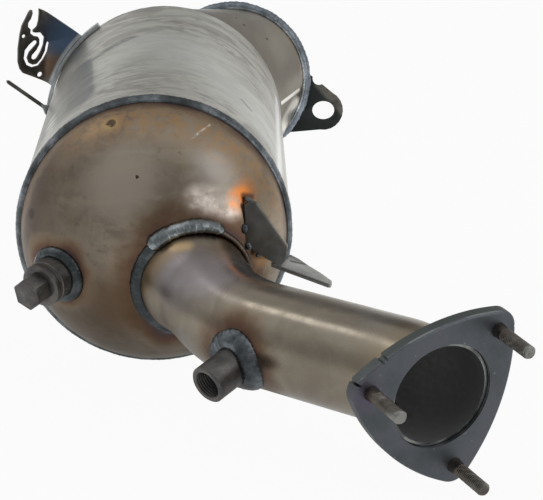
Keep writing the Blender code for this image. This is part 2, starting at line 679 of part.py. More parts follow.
def add_dome_bracket():
    """Bent plate: an upright leaf welded to the dome, and a sloping tab behind its lower edge."""
    upright = Matrix(((1, 0, 0, 0), (0, 0, 1, DOME_BRACKET_FRONT), (0, 1, 0, 0), (0, 0, 0, 1)))
    outline = [(x * MM, z * MM) for x, z in DOME_LEAF_OUTLINE]
    leaf = add_piece("dome_bracket", extrude_outline(outline, DOME_BRACKET_SHEET, upright), "bracket_steel")
    corner = TAB_ROOT + Vector((0, DOME_BRACKET_FRONT, 0))
    tilt = Matrix.Translation(corner) @ Matrix.Rotation(TAB_SLOPE, 4, 'Y')
    flat = [(x * MM, y * MM) for x, y in TAB_OUTLINE]
    cut(leaf, add_cutter("join_bracket_tab", extrude_outline(flat, -DOME_BRACKET_SHEET, tilt)), 'UNION')
    cut(leaf, dome_envelope("cut_bracket_root", FIT_GAP))
    weld_reach = 2 * PIPE_WELD_RADIUS + 2 * FIT_GAP
    cut(leaf, add_cutter("cut_bracket_cope", loft(pipe_rings(PIPE_ROOT_FRAMES, weld_reach), cap=True)))


def add_inlet():
    """Leaning inlet cone with its ring weld, funnel cap and clamp flange."""
    rings = [[CAN_FRAME @ (p + Vector((0, 0, CAN_LENGTH - SKIRT_LENGTH)))
              for p in ring_points(DOME_RADIUS, CAN_SIDES)]]
    start = [CAN_FRAME @ (p + Vector((0, 0, CAN_LENGTH))) for p in ring_points(DOME_RADIUS, CAN_SIDES)]
    end = [INLET_FRAME @ p for p in ring_points(INLET_RADIUS, CAN_SIDES)]
    for i in range(CONE_RINGS + 1):
        share = i / CONE_RINGS
        rings.append([a.lerp(b, share) for a, b in zip(start, end)])
    collar = INLET_FRAME @ Matrix.Translation((0, 0, INLET_COLLAR))
    rings.append([collar @ p for p in ring_points(INLET_RADIUS, CAN_SIDES)])
    cone = add_piece("inlet_cone", loft(rings), "shell_steel")
    thicken(cone, SHEET)
    section = oval_profile(CAN_RADIUS + REAR_WELD_RISE, CAN_LENGTH + FIT_GAP + REAR_WELD_RADIUS,
                           REAR_WELD_RADIUS, REAR_WELD_RADIUS)
    add_piece("can_rear_weld", revolve(section, CAN_FRAME), "weld_steel", radians(60))
    weld_foot = INLET_COLLAR + FIT_GAP
    section = oval_profile(INLET_RADIUS - SHEET + RING_WELD_RISE, weld_foot + RING_WELD_WIDTH,
                           RING_WELD_RISE, RING_WELD_WIDTH)
    add_piece("inlet_ring_weld", revolve(section, INLET_FRAME), "weld_steel", radians(60))
    cap_radius = INLET_RADIUS - SHEET - FIT_GAP
    outer = [(cap_radius, 0), (cap_radius, CAP_SHOULDER)]
    turns = [pi / 2 * i / 4 for i in range(1, 5)]
    rise = CAP_LENGTH - CAP_SHOULDER
    outer += [(NECK_RADIUS + (cap_radius - NECK_RADIUS) * cos(t), CAP_SHOULDER + rise * sin(t))
              for t in turns]
    outer.append((NECK_RADIUS, CAP_LENGTH + NECK_LENGTH))
    inner = [(radius - SHEET, height) for radius, height in reversed(outer)]
    add_piece("inlet_cap", revolve(outer + inner, INLET_FRAME), "shell_steel")
    low = CAP_LENGTH + NECK_LENGTH - CLAMP_FLANGE_WIDTH
    bore = NECK_RADIUS + FIT_GAP
    mouth = low + CLAMP_FLANGE_WIDTH
    lip = [(bore, low), (bore + SHEET, low), (CLAMP_FLANGE_RADIUS, mouth - CLAMP_FLANGE_LIP),
           (CLAMP_FLANGE_RADIUS, mouth), (bore, mouth)]
    add_piece("inlet_clamp_flange", revolve(lip, INLET_FRAME, 40), "stud_steel")


def add_eye_bracket():
    """Flat bracket behind the ring weld, with an oval hole in its round end."""
    root = INLET_RADIUS - SHEET
    inner = arc((0, 0), root, EYE_ROOT_ANGLES[1], EYE_ROOT_ANGLES[0], 8)
    outer = arc(EYE_CENTRE, EYE_RADIUS, *EYE_ARC, 10)
    shoulder = [(INLET_RADIUS + x, y) for x, y in EYE_SHOULDER]
    place = INLET_FROM_FRONT @ Matrix.Translation((0, 0, -INLET_COLLAR - EYE_SETBACK))
    plate = extrude_outline(inner + outer + shoulder, -EYE_SHEET, place)
    bracket = add_piece("inlet_eye_bracket", plate, "bracket_steel")
    hole = arc((0, 0), 1.0, 0, tau, 24)[:-1]
    oval = [(EYE_CENTRE[0] + x * EYE_HOLE[0], EYE_CENTRE[1] + y * EYE_HOLE[1]) for x, y in hole]
    through = place @ Matrix.Translation((0, 0, -2 * EYE_SHEET))
    cut(bracket, add_cutter("cut_eye_hole", extrude_outline(oval, 3 * EYE_SHEET, through)))


def clip_outline():
    """Outer edge of the clip leaf, whose root follows the can."""
    seat = CAN_RADIUS / MM
    start, end = (pi / 2 + spread for spread in CLIP_ROOT_SPREAD)
    root = arc((0, -seat), seat + FIT_GAP / MM + 1, start, end, 6)
    return root + list(CLIP_RIGHT_EDGE) + list(CLIP_LEFT_EDGE)


def add_clip_bracket():
    """Folded clip leaf with its S tongue, joined to the strap that it rises from."""
    across = Vector((sin(CLIP_ANGLE), 0, -cos(CLIP_ANGLE)))
    out = Vector((cos(CLIP_ANGLE), 0, sin(CLIP_ANGLE)))
    back = across.cross(out)
    foot = out * CAN_RADIUS + Vector((0, CLIP_REAR, 0))
    leaf_frame = Matrix.Translation(foot) @ Matrix((across, out, back)).transposed().to_4x4()
    outline = [(x * MM, y * MM) for x, y in clip_outline()]
    depth = -CLIP_SHEET if back.y > 0 else CLIP_SHEET
    leaf = add_piece("clip_bracket", extrude_outline(outline, depth, leaf_frame), "bracket_steel")
    deep = leaf_frame @ Matrix.Translation((0, 0, -depth))
    for name, (points, widths) in CLIP_SLOTS.items():
        track = stroke([(x * MM, y * MM) for x, y in points], [w * MM for w in widths])
        cut(leaf, add_cutter(f"cut_clip_{name}", extrude_outline(track, 3 * depth, deep)))
    fold_leaf(leaf, leaf_frame @ Matrix.Translation((0, 0, depth / 2)))
    join_strap(leaf)


def fold_leaf(leaf, leaf_frame):
    """Bake the leaf's cuts, score it along the fold line and swing the outer part."""
    scene = bpy.context.evaluated_depsgraph_get()
    baked = bpy.data.meshes.new_from_object(leaf.evaluated_get(scene))
    for step in list(leaf.modifiers):
        leaf.modifiers.remove(step)
    bm = bmesh.new()
    bm.from_mesh(baked)
    first, second = (Vector((point.x * MM, point.y * MM, 0)) for point in CLIP_FOLD)
    bm.transform(leaf_frame.inverted())
    along = (second - first).normalized()
    outward = Vector((along.y, -along.x, 0))
    if outward.y < 0:
        outward = -outward
    everything = bm.verts[:] + bm.edges[:] + bm.faces[:]
    bmesh.ops.bisect_plane(bm, geom=everything, dist=0.01 * MM, plane_co=first, plane_no=outward)
    swung = [vert for vert in bm.verts if (vert.co - first).dot(outward) > 0.02 * MM]
    turn = Matrix.Rotation(CLIP_FOLD_ANGLE, 3, along)
    bmesh.ops.rotate(bm, verts=swung, cent=first, matrix=turn)
    bm.transform(leaf_frame)
    bm.to_mesh(leaf.data)
    bm.free()


def join_strap(leaf):
    """Curved strap that hugs the can's rear edge under the leaf."""
    inner = CAN_RADIUS + FIT_GAP
    outer = inner + STRAP_THICKNESS
    start, end = STRAP_ANGLES
    outline = arc((0, 0), outer, start, end, 16) + arc((0, 0), inner, end, start, 16)
    upright = Matrix(((1, 0, 0, 0), (0, 0, 1, CLIP_REAR - STRAP_WIDTH), (0, 1, 0, 0), (0, 0, 0, 1)))
    cut(leaf, add_cutter("join_clip_strap", extrude_outline(outline, STRAP_WIDTH, upright)), 'UNION')


def add_side_tab():
    """Thin tab on the can's left side, with a flared foot."""
    seat = CAN_RADIUS - SIDE_TAB_SUNK
    root = Vector((seat * cos(SIDE_TAB_ANGLE), SIDE_TAB_Y, seat * sin(SIDE_TAB_ANGLE)))
    along = Vector((cos(SIDE_TAB_TURN), 0, sin(SIDE_TAB_TURN)))
    wide = Vector((0, cos(SIDE_TAB_LEAN), sin(SIDE_TAB_LEAN)))
    across = wide.cross(along).normalized()
    wide = along.cross(across)
    place = Matrix.Translation(root) @ Matrix((along, across, wide)).transposed().to_4x4()
    half = TAB_THICKNESS / 2
    length = SIDE_TAB_LENGTH
    foot = SIDE_TAB_FOOT / 2
    rise = SIDE_TAB_SUNK + foot
    edge = [(0, foot), (SIDE_TAB_SUNK, foot), (rise, half), (length - half, half), (length, half / 3)]
    outline = [(x, -y) for x, y in edge] + edge[::-1]
    shifted = place @ Matrix.Translation((0, 0, -SIDE_TAB_WIDTH / 2))
    tab = add_piece("side_tab", extrude_outline(outline, SIDE_TAB_WIDTH, shifted), "bracket_steel")
    room = cylinder(CAN_RADIUS + FIT_GAP, SIDE_TAB_Y - 2 * SIDE_TAB_WIDTH, SIDE_TAB_Y + 2 * SIDE_TAB_WIDTH,
                    CAN_FRAME, 2 * CAN_SIDES)
    cut(tab, add_cutter("cut_side_tab_foot", room))


def add_core():
    """Ceramic filter brick, its support mat and the two wire seal rings."""
    brick_radius = CAN_INNER_RADIUS - 2 * FIT_GAP - MAT_THICKNESS
    end = CAN_LENGTH - BRICK_START
    brick = add_piece("filter_brick", cylinder(brick_radius, BRICK_START, end, CAN_FRAME, CAN_SIDES),
                      "filter_ceramic")
    for name, turn in (("cut_upright_joints", 0), ("cut_level_joints", pi / 2)):
        bars = bmesh.new()
        bar = Matrix.Diagonal((SEGMENT_JOINT_WIDTH, 2.2 * brick_radius, 2 * SEGMENT_JOINT_DEPTH, 1))
        for line in (-SEGMENT_PITCH, 0, SEGMENT_PITCH):
            for height in (BRICK_START, end):
                spot = Matrix.Rotation(turn, 4, 'Z') @ Matrix.Translation((line, 0, height))
                bmesh.ops.create_cube(bars, size=1, matrix=CAN_FRAME @ spot @ bar)
        cut(brick, add_cutter(name, bars))
    inner = brick_radius + FIT_GAP
    outer = CAN_INNER_RADIUS - FIT_GAP
    mat_start = BRICK_START + SEAL_RING_LENGTH + FIT_GAP
    mat_end = end - SEAL_RING_LENGTH - FIT_GAP
    spans = {"support_mat": (mat_start, mat_end, "mat_fibre"),
             "front_seal_ring": (BRICK_START, BRICK_START + SEAL_RING_LENGTH, "stud_steel"),
             "rear_seal_ring": (end - SEAL_RING_LENGTH, end, "stud_steel")}
    for name, (low, high, material) in spans.items():
        section = [(outer, low), (outer, high), (inner, high), (inner, low)]
        add_piece(name, revolve(section, CAN_FRAME), material)


def stand_on_floor():
    """Put the origin under the middle of the part, at its lowest point."""
    bpy.context.view_layer.update()
    scene = bpy.context.evaluated_depsgraph_get()
    corners = []
    for piece in bpy.data.objects:
        if piece.type == 'MESH' and not piece.hide_render:
            solid = piece.evaluated_get(scene)
            corners += [solid.matrix_world @ vert.co for vert in solid.data.vertices]
    low = Vector([min(corner[i] for corner in corners) for i in range(3)])
    high = Vector([max(corner[i] for corner in corners) for i in range(3)])
    ROOT.location = -Vector(((low.x + high.x) / 2, (low.y + high.y) / 2, low.z))
    bpy.context.view_layer.update()


add_can()
add_core()
add_dome()
add_pipe()
add_flange()
add_pipe_boss()
add_dome_boss()
add_dome_bracket()
add_inlet()
add_eye_bracket()
add_clip_bracket()
add_side_tab()
stand_on_floor()
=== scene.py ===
"""Looks of the diesel particulate filter: smooth steel forms, rippled weld beads and heat-tinted finishes."""

from math import acos, cos, pi, radians, sin, sqrt, tan, tau

import bmesh
import bpy
from mathutils import Matrix, Vector, kdtree, noise


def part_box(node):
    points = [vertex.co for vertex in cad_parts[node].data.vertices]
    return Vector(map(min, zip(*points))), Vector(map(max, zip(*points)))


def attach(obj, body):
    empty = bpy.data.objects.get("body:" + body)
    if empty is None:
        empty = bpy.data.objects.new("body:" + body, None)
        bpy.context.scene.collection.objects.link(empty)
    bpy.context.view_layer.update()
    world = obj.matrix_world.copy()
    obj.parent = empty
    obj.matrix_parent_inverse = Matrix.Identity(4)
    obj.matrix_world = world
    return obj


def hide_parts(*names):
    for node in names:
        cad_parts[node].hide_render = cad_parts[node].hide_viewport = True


MM = 0.001
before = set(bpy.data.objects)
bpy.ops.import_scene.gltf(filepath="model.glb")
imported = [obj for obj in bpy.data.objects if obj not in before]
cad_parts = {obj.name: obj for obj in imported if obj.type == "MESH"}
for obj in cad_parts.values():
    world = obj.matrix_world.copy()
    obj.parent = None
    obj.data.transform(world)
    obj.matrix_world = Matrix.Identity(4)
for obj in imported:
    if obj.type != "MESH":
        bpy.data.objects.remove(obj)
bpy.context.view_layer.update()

# Sizes shared with the CAD model
SHEET = 1.5 * MM
FIT_GAP = 0.3 * MM
CAN_RADIUS = 76.5 * MM
CAN_LENGTH = 255 * MM
CAN_INNER_RADIUS = CAN_RADIUS - SHEET
DOME_RADIUS = CAN_INNER_RADIUS - FIT_GAP
DOME_HEIGHT = 50 * MM
SKIRT_DEPTH = 10 * MM
PIPE_RADIUS = 27.5 * MM
FLARE_START = 17 * MM
FLARE_LENGTH = 18 * MM
FLARE_SIZE = 2.5 * MM
FLANGE_THICKNESS = 6.5 * MM
FLANGE_TURN = radians(28.4)
FLANGE_DIP = radians(8)
FLANGE_ROLL = radians(-13.2)
STUD_CIRCLE_RADIUS = 42.15 * MM
LOBE_RADIUS = 10 * MM
FLANGE_SIDE_REACH = 38 * MM
LOBE_ANGLES = (radians(-60), radians(60), radians(180))
LOBE_CENTRES = [(STUD_CIRCLE_RADIUS * cos(angle), STUD_CIRCLE_RADIUS * sin(angle)) for angle in LOBE_ANGLES]
INLET_RADIUS = 47.5 * MM
INLET_DIP = radians(12)
PIPE_BOSS_HEIGHT = 22 * MM
PIPE_BOSS_DISTANCE = 96 * MM
PIPE_BOSS_TURN = radians(-17)
DOME_BOSS_HEIGHT = 10 * MM
DOME_BOSS_TURN = radians(197.1)

# The middle of the can's front edge, on which all the frames below stand
low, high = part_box("can_shell")
ORIGIN = Vector(((low.x + high.x) / 2, low.y, (low.z + high.z) / 2))


def axis_frame(origin, axis, up=Vector((0, 0, 1))):
    """Frame whose Z runs along an axis and whose Y leans towards up."""
    z = axis.normalized()
    y = (up - z * up.dot(z)).normalized()
    turned = Matrix((y.cross(z), y, z)).transposed().to_4x4()
    return Matrix.Translation(origin) @ turned


def from_can(x, y, z):
    """Point given in mm from the middle of the can's front edge."""
    return ORIGIN + Vector((x, y, z)) * MM


CAN_FRAME = axis_frame(ORIGIN, Vector((0, 1, 0)))
INLET_AXIS = Vector((0, cos(INLET_DIP), -sin(INLET_DIP)))
INLET_FRAME = axis_frame(from_can(44.6, 290, 19.2), INLET_AXIS)
FLANGE_CENTRE = from_can(144.4, -197.5, -25.2)
FLANGE_NORMAL = Vector((sin(FLANGE_TURN) * cos(FLANGE_DIP), -cos(FLANGE_TURN) * cos(FLANGE_DIP),
                        -sin(FLANGE_DIP)))
FLANGE_FRAME = axis_frame(FLANGE_CENTRE, FLANGE_NORMAL) @ Matrix.Rotation(FLANGE_ROLL, 4, 'Z')


# Making pieces
def mesh_of(name, bm):
    """Mesh made from a bmesh, which is used up."""
    mesh = bpy.data.meshes.new(name)
    bm.to_mesh(mesh)
    bm.free()
    return mesh


def placed(name, data):
    """New object in the scene."""
    thing = bpy.data.objects.new(name, data)
    bpy.context.collection.objects.link(thing)
    return thing


def finished(name, bm, material, slot, *replaced, smooth=radians(35)):
    """Turn a bmesh into a piece that rides with the part and stands for its CAD nodes."""
    mesh = mesh_of(name, bm)
    mesh.materials.append(material)
    mesh.shade_smooth()
    mesh.set_sharp_from_angle(angle=smooth)
    piece = placed(name, mesh)
    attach(piece, "root")
    if replaced:
        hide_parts(*replaced)
    return piece


def outward(bm):
    """Point all faces out of a closed or nearly closed form."""
    bmesh.ops.remove_doubles(bm, verts=bm.verts, dist=0.005 * MM)
    bmesh.ops.recalc_face_normals(bm, faces=bm.faces)
    if bm.calc_volume(signed=True) < 0:
        bmesh.ops.reverse_faces(bm, faces=bm.faces)
    return bm


def verts_of(parts):
    """The vertices among the parts that an operator made."""
    return [part for part in parts if isinstance(part, bmesh.types.BMVert)]


def open_edges_of(parts):
    """The edges with a face on one side only, among the parts that an operator made."""
    return [part for part in parts if isinstance(part, bmesh.types.BMEdge) and len(part.link_faces) == 1]


def close_ends(bm):
    """Put a face on each open end."""
    bmesh.ops.holes_fill(bm, edges=[edge for edge in bm.edges if edge.is_boundary])
    return outward(bm)


def revolve(profile, place, steps=160):
    """Turn a (radius, height) profile about local Z."""
    bm = bmesh.new()
    points = [bm.verts.new((radius, 0, height)) for radius, height in profile]
    pairs = list(zip(points, points[1:] + points[:1]))
    edges = [bm.edges.new((a, b)) for a, b in pairs if a.co.x > 0 or b.co.x > 0]
    bmesh.ops.spin(bm, geom=points + edges, cent=(0, 0, 0), axis=(0, 0, 1), angle=tau,
                   steps=steps, use_merge=True)
    bm.transform(place)
    return outward(bm)


def arc(centre, radius, start, end, steps):
    """Points of an arc, both ends included."""
    turns = [start + (end - start) * i / steps for i in range(steps + 1)]
    return [(centre[0] + radius * cos(t), centre[1] + radius * sin(t)) for t in turns]


def sweep(frames, sizes, section, closed=False):
    """Carry a circle of so many sides along frames, scaled to each size; an open sweep has open ends."""
    bm = bmesh.new()
    ring = bmesh.ops.create_circle(bm, segments=section, radius=1)["verts"]
    bmesh.ops.transform(bm, matrix=frames[0] @ Matrix.Diagonal((*sizes[0], 1, 1)), verts=ring)
    edges = bm.edges[:]
    first = edges
    for before, after, old, new in zip(frames, frames[1:], sizes, sizes[1:]):
        made = bmesh.ops.extrude_edge_only(bm, edges=edges)["geom"]
        edges = open_edges_of(made)
        scale = Matrix.Diagonal((new[0] / old[0], new[1] / old[1], 1, 1))
        bmesh.ops.transform(bm, matrix=after @ scale @ before.inverted(), verts=verts_of(made))
    if closed:
        bmesh.ops.bridge_loops(bm, edges=first + edges)
    return bm


def slab(outline, depth):
    """Flat plate from an outline and the way it is thick."""
    bm = bmesh.new()
    bm.faces.new([bm.verts.new(point) for point in outline])
    made = bmesh.ops.extrude_face_region(bm, geom=bm.faces[:])["geom"]
    bmesh.ops.translate(bm, verts=verts_of(made), vec=depth)
    bmesh.ops.recalc_face_normals(bm, faces=bm.faces)
    return bm


def round_edges(bm, edges, size, segments=3):
    """Round some edges and point all faces out."""
    bmesh.ops.bevel(bm, geom=edges, offset=size, segments=segments, profile=0.5, affect='EDGES', material=-1)
    return outward(bm)


def rod(radius, start, end, place, sides=48):
    """Closed cylinder along local Z."""
    bm = bmesh.new()
    lift = Matrix.Translation((0, 0, (start + end) / 2))
    bmesh.ops.create_cone(bm, cap_ends=True, segments=sides, radius1=radius, radius2=radius,
                          depth=end - start, matrix=place @ lift)
    return bm


def dome_form(offset):
    """Closed form of the dome's outer face, moved outward by an offset."""
    bm = bmesh.new()
    bmesh.ops.create_uvsphere(bm, u_segments=96, v_segments=48, radius=1)
    radius = DOME_RADIUS + offset
    bm.transform(CAN_FRAME @ Matrix.Diagonal((radius, radius, DOME_HEIGHT + offset, 1)))
    return bm


def baked(piece, smooth=None):
    """Bake a piece's modifiers into its mesh, and shade it afresh where an angle is given."""
    bpy.context.view_layer.update()
    shown = piece.evaluated_get(bpy.context.evaluated_depsgraph_get())
    mesh = bpy.data.meshes.new_from_object(shown)
    piece.modifiers.clear()
    old = piece.data
    piece.data = mesh
    bpy.data.meshes.remove(old)
    if smooth:
        mesh.shade_smooth()
        mesh.set_sharp_from_angle(angle=smooth)
    return piece


def carve(piece, *tools):
    """Cut closed forms out of a piece and bake the result."""
    helpers = []
    for bm in tools:
        helper = placed("tool", mesh_of("tool", bm))
        step = piece.modifiers.new("carve", 'BOOLEAN')
        step.operation = 'DIFFERENCE'
        step.solver = 'EXACT'
        step.object = helper
        helpers.append(helper)
    baked(piece, radians(35))
    for helper in helpers:
        bpy.data.objects.remove(helper, do_unlink=True)


def thicken(piece, lining=None):
    """Give a skin an inner wall, with a lining of its own where one is named."""
    wall = piece.modifiers.new("wall", 'SOLIDIFY')
    wall.thickness = SHEET
    wall.offset = -1
    if lining:
        piece.data.materials.append(lining)
        wall.material_offset = 1
    baked(piece)


def softened(name, node, material, edge=0.35 * MM):
    """Copy of a CAD node with its edges rounded."""
    bm = bmesh.new()
    bm.from_mesh(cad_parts[node].data)
    bmesh.ops.remove_doubles(bm, verts=bm.verts, dist=0.002 * MM)
    bmesh.ops.dissolve_limit(bm, angle_limit=radians(1), verts=bm.verts, edges=bm.edges)
    piece = finished(name, bm, material, "bracket_steel", node)
    bevel = piece.modifiers.new("edges", 'BEVEL')
    bevel.width = edge
    bevel.segments = 2
    bevel.angle_limit = radians(40)
    return baked(piece, radians(40))


# Paths of the outlet pipe and of the welds
def bent_path(corners, radii, step):
    """Points and directions along straight runs joined by round bends."""
    points = [corners[0]]
    for before, corner, after, radius in zip(corners, corners[1:], corners[2:], radii):
        back = (before - corner).normalized()
        ahead = (after - corner).normalized()
        turn = acos(max(-1, min(1, -back.dot(ahead))))
        start = corner + back * radius * tan(turn / 2)
        centre = corner + (back + ahead).normalized() * radius / cos(turn / 2)
        count = max(2, round(radius * turn / step))
        for i in range(count + 1):
            angle = turn * i / count
            points.append(centre + (start - centre) * cos(angle) - back * radius * sin(angle))
    points.append(corners[-1])
    dense = [points[0]]
    for a, b in zip(points, points[1:]):
        pieces = max(1, round((b - a).length / step))
        dense += [a.lerp(b, (i + 1) / pieces) for i in range(pieces)]
    runs = [(b - a).normalized() for a, b in zip(dense, dense[1:])]
    directions = [runs[0]] + [(a + b).normalized() for a, b in zip(runs, runs[1:])]
    directions.append((corners[-1] - corners[-2]).normalized())
    return dense, directions


def path_frames(points, directions):
    """Frames along a path that do not twist."""
    frames = []
    up = Vector((0, 0, 1))
    for point, direction in zip(points, directions):
        place = axis_frame(point, direction, up)
        up = place.col[1].to_3d()
        frames.append(place)
    return frames


def distances_of(frames):
    """Distance of each frame from the first, along the path."""
    distances = [0.0]
    for a, b in zip(frames, frames[1:]):
        distances.append(distances[-1] + (b.translation - a.translation).length)
    return distances


def frame_at(frames, distance):
    """Frame at a distance from the start of a path."""
    left = distance
    for a, b in zip(frames, frames[1:]):
        run = (b.translation - a.translation).length
        if left <= run:
            break
        left -= run
    return a.lerp(b, left / run)


def pipe_radius(distance):
    """Outer radius of the outlet pipe, which opens out towards the dome."""
    share = max(0, min(1, (distance - FLARE_START) / FLARE_LENGTH))
    return PIPE_RADIUS + FLARE_SIZE * (1 + cos(pi * share)) / 2


PIPE_CORNERS = [from_can(15.9, -27.9, -14.1), from_can(46.6, -93.2, -25.9),
                FLANGE_CENTRE - FLANGE_NORMAL * 21.4 * MM, FLANGE_CENTRE - FLANGE_NORMAL * 2 * MM]
PIPE_FRAMES = path_frames(*bent_path(PIPE_CORNERS, (110 * MM, 75 * MM), 3 * MM))
PIPE_SPOT = frame_at(PIPE_FRAMES, PIPE_BOSS_DISTANCE)
pipe_axis = PIPE_SPOT.col[2].to_3d()
side = pipe_axis.cross(Vector((0, 0, 1))).normalized()
PIPE_BOSS_AXIS = side * cos(PIPE_BOSS_TURN) + side.cross(pipe_axis) * sin(PIPE_BOSS_TURN)
PIPE_BOSS_FRAME = axis_frame(PIPE_SPOT.translation + PIPE_BOSS_AXIS * PIPE_RADIUS, PIPE_BOSS_AXIS)
offset = DOME_RADIUS - 20 * MM
boss_foot = Vector((offset * cos(DOME_BOSS_TURN), -DOME_HEIGHT * sqrt(1 - (offset / DOME_RADIUS) ** 2),
                    offset * sin(DOME_BOSS_TURN)))
boss_axis = Vector((boss_foot.x / DOME_RADIUS ** 2, boss_foot.y / DOME_HEIGHT ** 2,
                    boss_foot.z / DOME_RADIUS ** 2))
DOME_BOSS_FRAME = axis_frame(ORIGIN + boss_foot, boss_axis)


def dome_gap(offset):
    """Signed test for the dome's outer face moved outward by an offset, below zero inside."""
    radius, height = DOME_RADIUS + offset, DOME_HEIGHT + offset

    def measure(point):
        p = point - ORIGIN
        return (p.x ** 2 + p.z ** 2) / radius ** 2 + (min(p.y, 0) / height) ** 2 - 1
    return measure


def pipe_gap(offset):
    """Signed test for the pipe's outer face under its boss, moved outward by an offset."""
    inverse = PIPE_SPOT.inverted()

    def measure(point):
        local = inverse @ point
        return local.x ** 2 + local.y ** 2 - (PIPE_RADIUS + offset) ** 2
    return measure


def seat(frame_of, radius_of, surface, inside, outside, turn):
    """Point at one turn round an axis, slid along it until it meets a surface."""
    spoke = Vector((cos(turn), sin(turn), 0))
    for _ in range(30):
        middle = (inside + outside) / 2
        if surface(frame_of(middle) @ (spoke * radius_of(middle))) < 0:
            inside = middle
        else:
            outside = middle
    return frame_of(outside) @ (spoke * radius_of(outside))


def circle_path(radius, height, place, count):
    """Points round a circle about local Z."""
    return [place @ Vector((radius * cos(tau * i / count), radius * sin(tau * i / count), height))
            for i in range(count)]


def boss_path(place, radius, surface, depth, count=120):
    """Weld path where a cylinder round a boss's axis meets a surface."""
    return [seat(lambda s: place @ Matrix.Translation((0, 0, s)), lambda s: radius, surface, -depth, 15 * MM,
                 tau * i / count) for i in range(count)]


def root_run(start, end, reach, lift, steps):
    """Weld path on the dome round the pipe, between two turns in degrees round the pipe's axis."""
    return [seat(lambda s: frame_at(PIPE_FRAMES, s), lambda s: pipe_radius(s) + reach, dome_gap(lift),
                 0, 60 * MM, radians(start + (end - start) * i / steps)) for i in range(steps)]


def short_run(start, end, steps):
    """Straight weld path between two points in mm."""
    return [from_can(*start).lerp(from_can(*end), i / steps) for i in range(steps + 1)]


# Weld paths, which also steer the heat tints
rim_path = circle_path(CAN_INNER_RADIUS + 0.4 * MM, -2.0 * MM, CAN_FRAME, 420)
rear_path = circle_path(CAN_INNER_RADIUS + 0.4 * MM, CAN_LENGTH + 1.0 * MM, CAN_FRAME, 300)
ring_path = circle_path(INLET_RADIUS - SHEET + 3.0 * MM, 7.6 * MM, INLET_FRAME, 300)
lip_path = circle_path(INLET_RADIUS + 0.5 * MM, 3.4 * MM, INLET_FRAME, 300)
flange_path = circle_path(PIPE_RADIUS + 2.7 * MM, -FLANGE_THICKNESS - 2.7 * MM, FLANGE_FRAME, 180)
pipe_boss_path = boss_path(PIPE_BOSS_FRAME, 13.4 * MM, pipe_gap(1.6 * MM), 15 * MM)
dome_boss_path = boss_path(DOME_BOSS_FRAME, 13.8 * MM, dome_gap(1.2 * MM), 20 * MM)
root_path = root_run(0, 360, 1.4 * MM, 1.0 * MM, 300)
top_run = root_run(64, 142, 3.2 * MM, 1.6 * MM, 120)
left_run = root_run(134, 258, 1.2 * MM, 1.2 * MM, 160)


# Finishes
class Pattern:
    """Patterns in the node tree of a material or of the world."""

    def __init__(self, tree, space):
        self.tree = tree
        self.space = self.add("TexCoord").outputs[space]

    def add(self, kind, inputs=(), **settings):
        """Add a node, with settings and with values or links for its inputs."""
        node = self.tree.nodes.new("ShaderNode" + kind)
        for key, value in settings.items():
            setattr(node, key, value)
        for key, value in dict(inputs).items():
            self.feed(node.inputs[key], value)
        return node

    def feed(self, socket, value):
        """Link an output to a socket, or set its value."""
        if isinstance(value, bpy.types.NodeSocket):
            self.tree.links.new(value, socket)
        else:
            socket.default_value = value

    def maths(self, operation, a, b=0.0, clamp=False):
        """One sum of two values."""
        return self.add("Math", {0: a, 1: b}, operation=operation, use_clamp=clamp).outputs[0]

    def dot(self, direction, space=None):
        """How far a point lies along a direction."""
        node = self.add("VectorMath", {0: space or self.space, 1: direction}, operation='DOT_PRODUCT')
        return node.outputs["Value"]

    def spread(self, value, low, high, to_low=0.0, to_high=1.0, kind='SMOOTHSTEP'):
        """Map a value's range onto another, within its ends."""
        node = self.add("MapRange", {"Value": value, "From Min": low, "From Max": high, "To Min": to_low,
                                     "To Max": to_high}, interpolation_type=kind)
        return node.outputs[0]

    def ramp(self, value, *stops):
        """Colours at positions from 0 to 1."""
        node = self.add("ValToRGB", {0: value})
        bands = node.color_ramp.elements
        while len(bands) < len(stops):
            bands.new(1.0)
        for band, (position, colour) in zip(bands, stops):
            band.position = position
            band.color = (*colour, 1.0)
        return node.outputs[0]

    def blend(self, share, a, b):
        """Mix two colours."""
        node = self.add("Mix", {0: share}, data_type='RGBA')
        for socket, colour in ((node.inputs[6], a), (node.inputs[7], b)):
            self.feed(socket, colour if isinstance(colour, bpy.types.NodeSocket) else (*colour, 1.0))
        return node.outputs[2]

    def over(self, tone, colour, share, *weights):
        """Lay a colour over a tone by a share, times any weights."""
        for weight in weights:
            share = self.maths('MULTIPLY', share, weight)
        return self.blend(share, tone, colour)


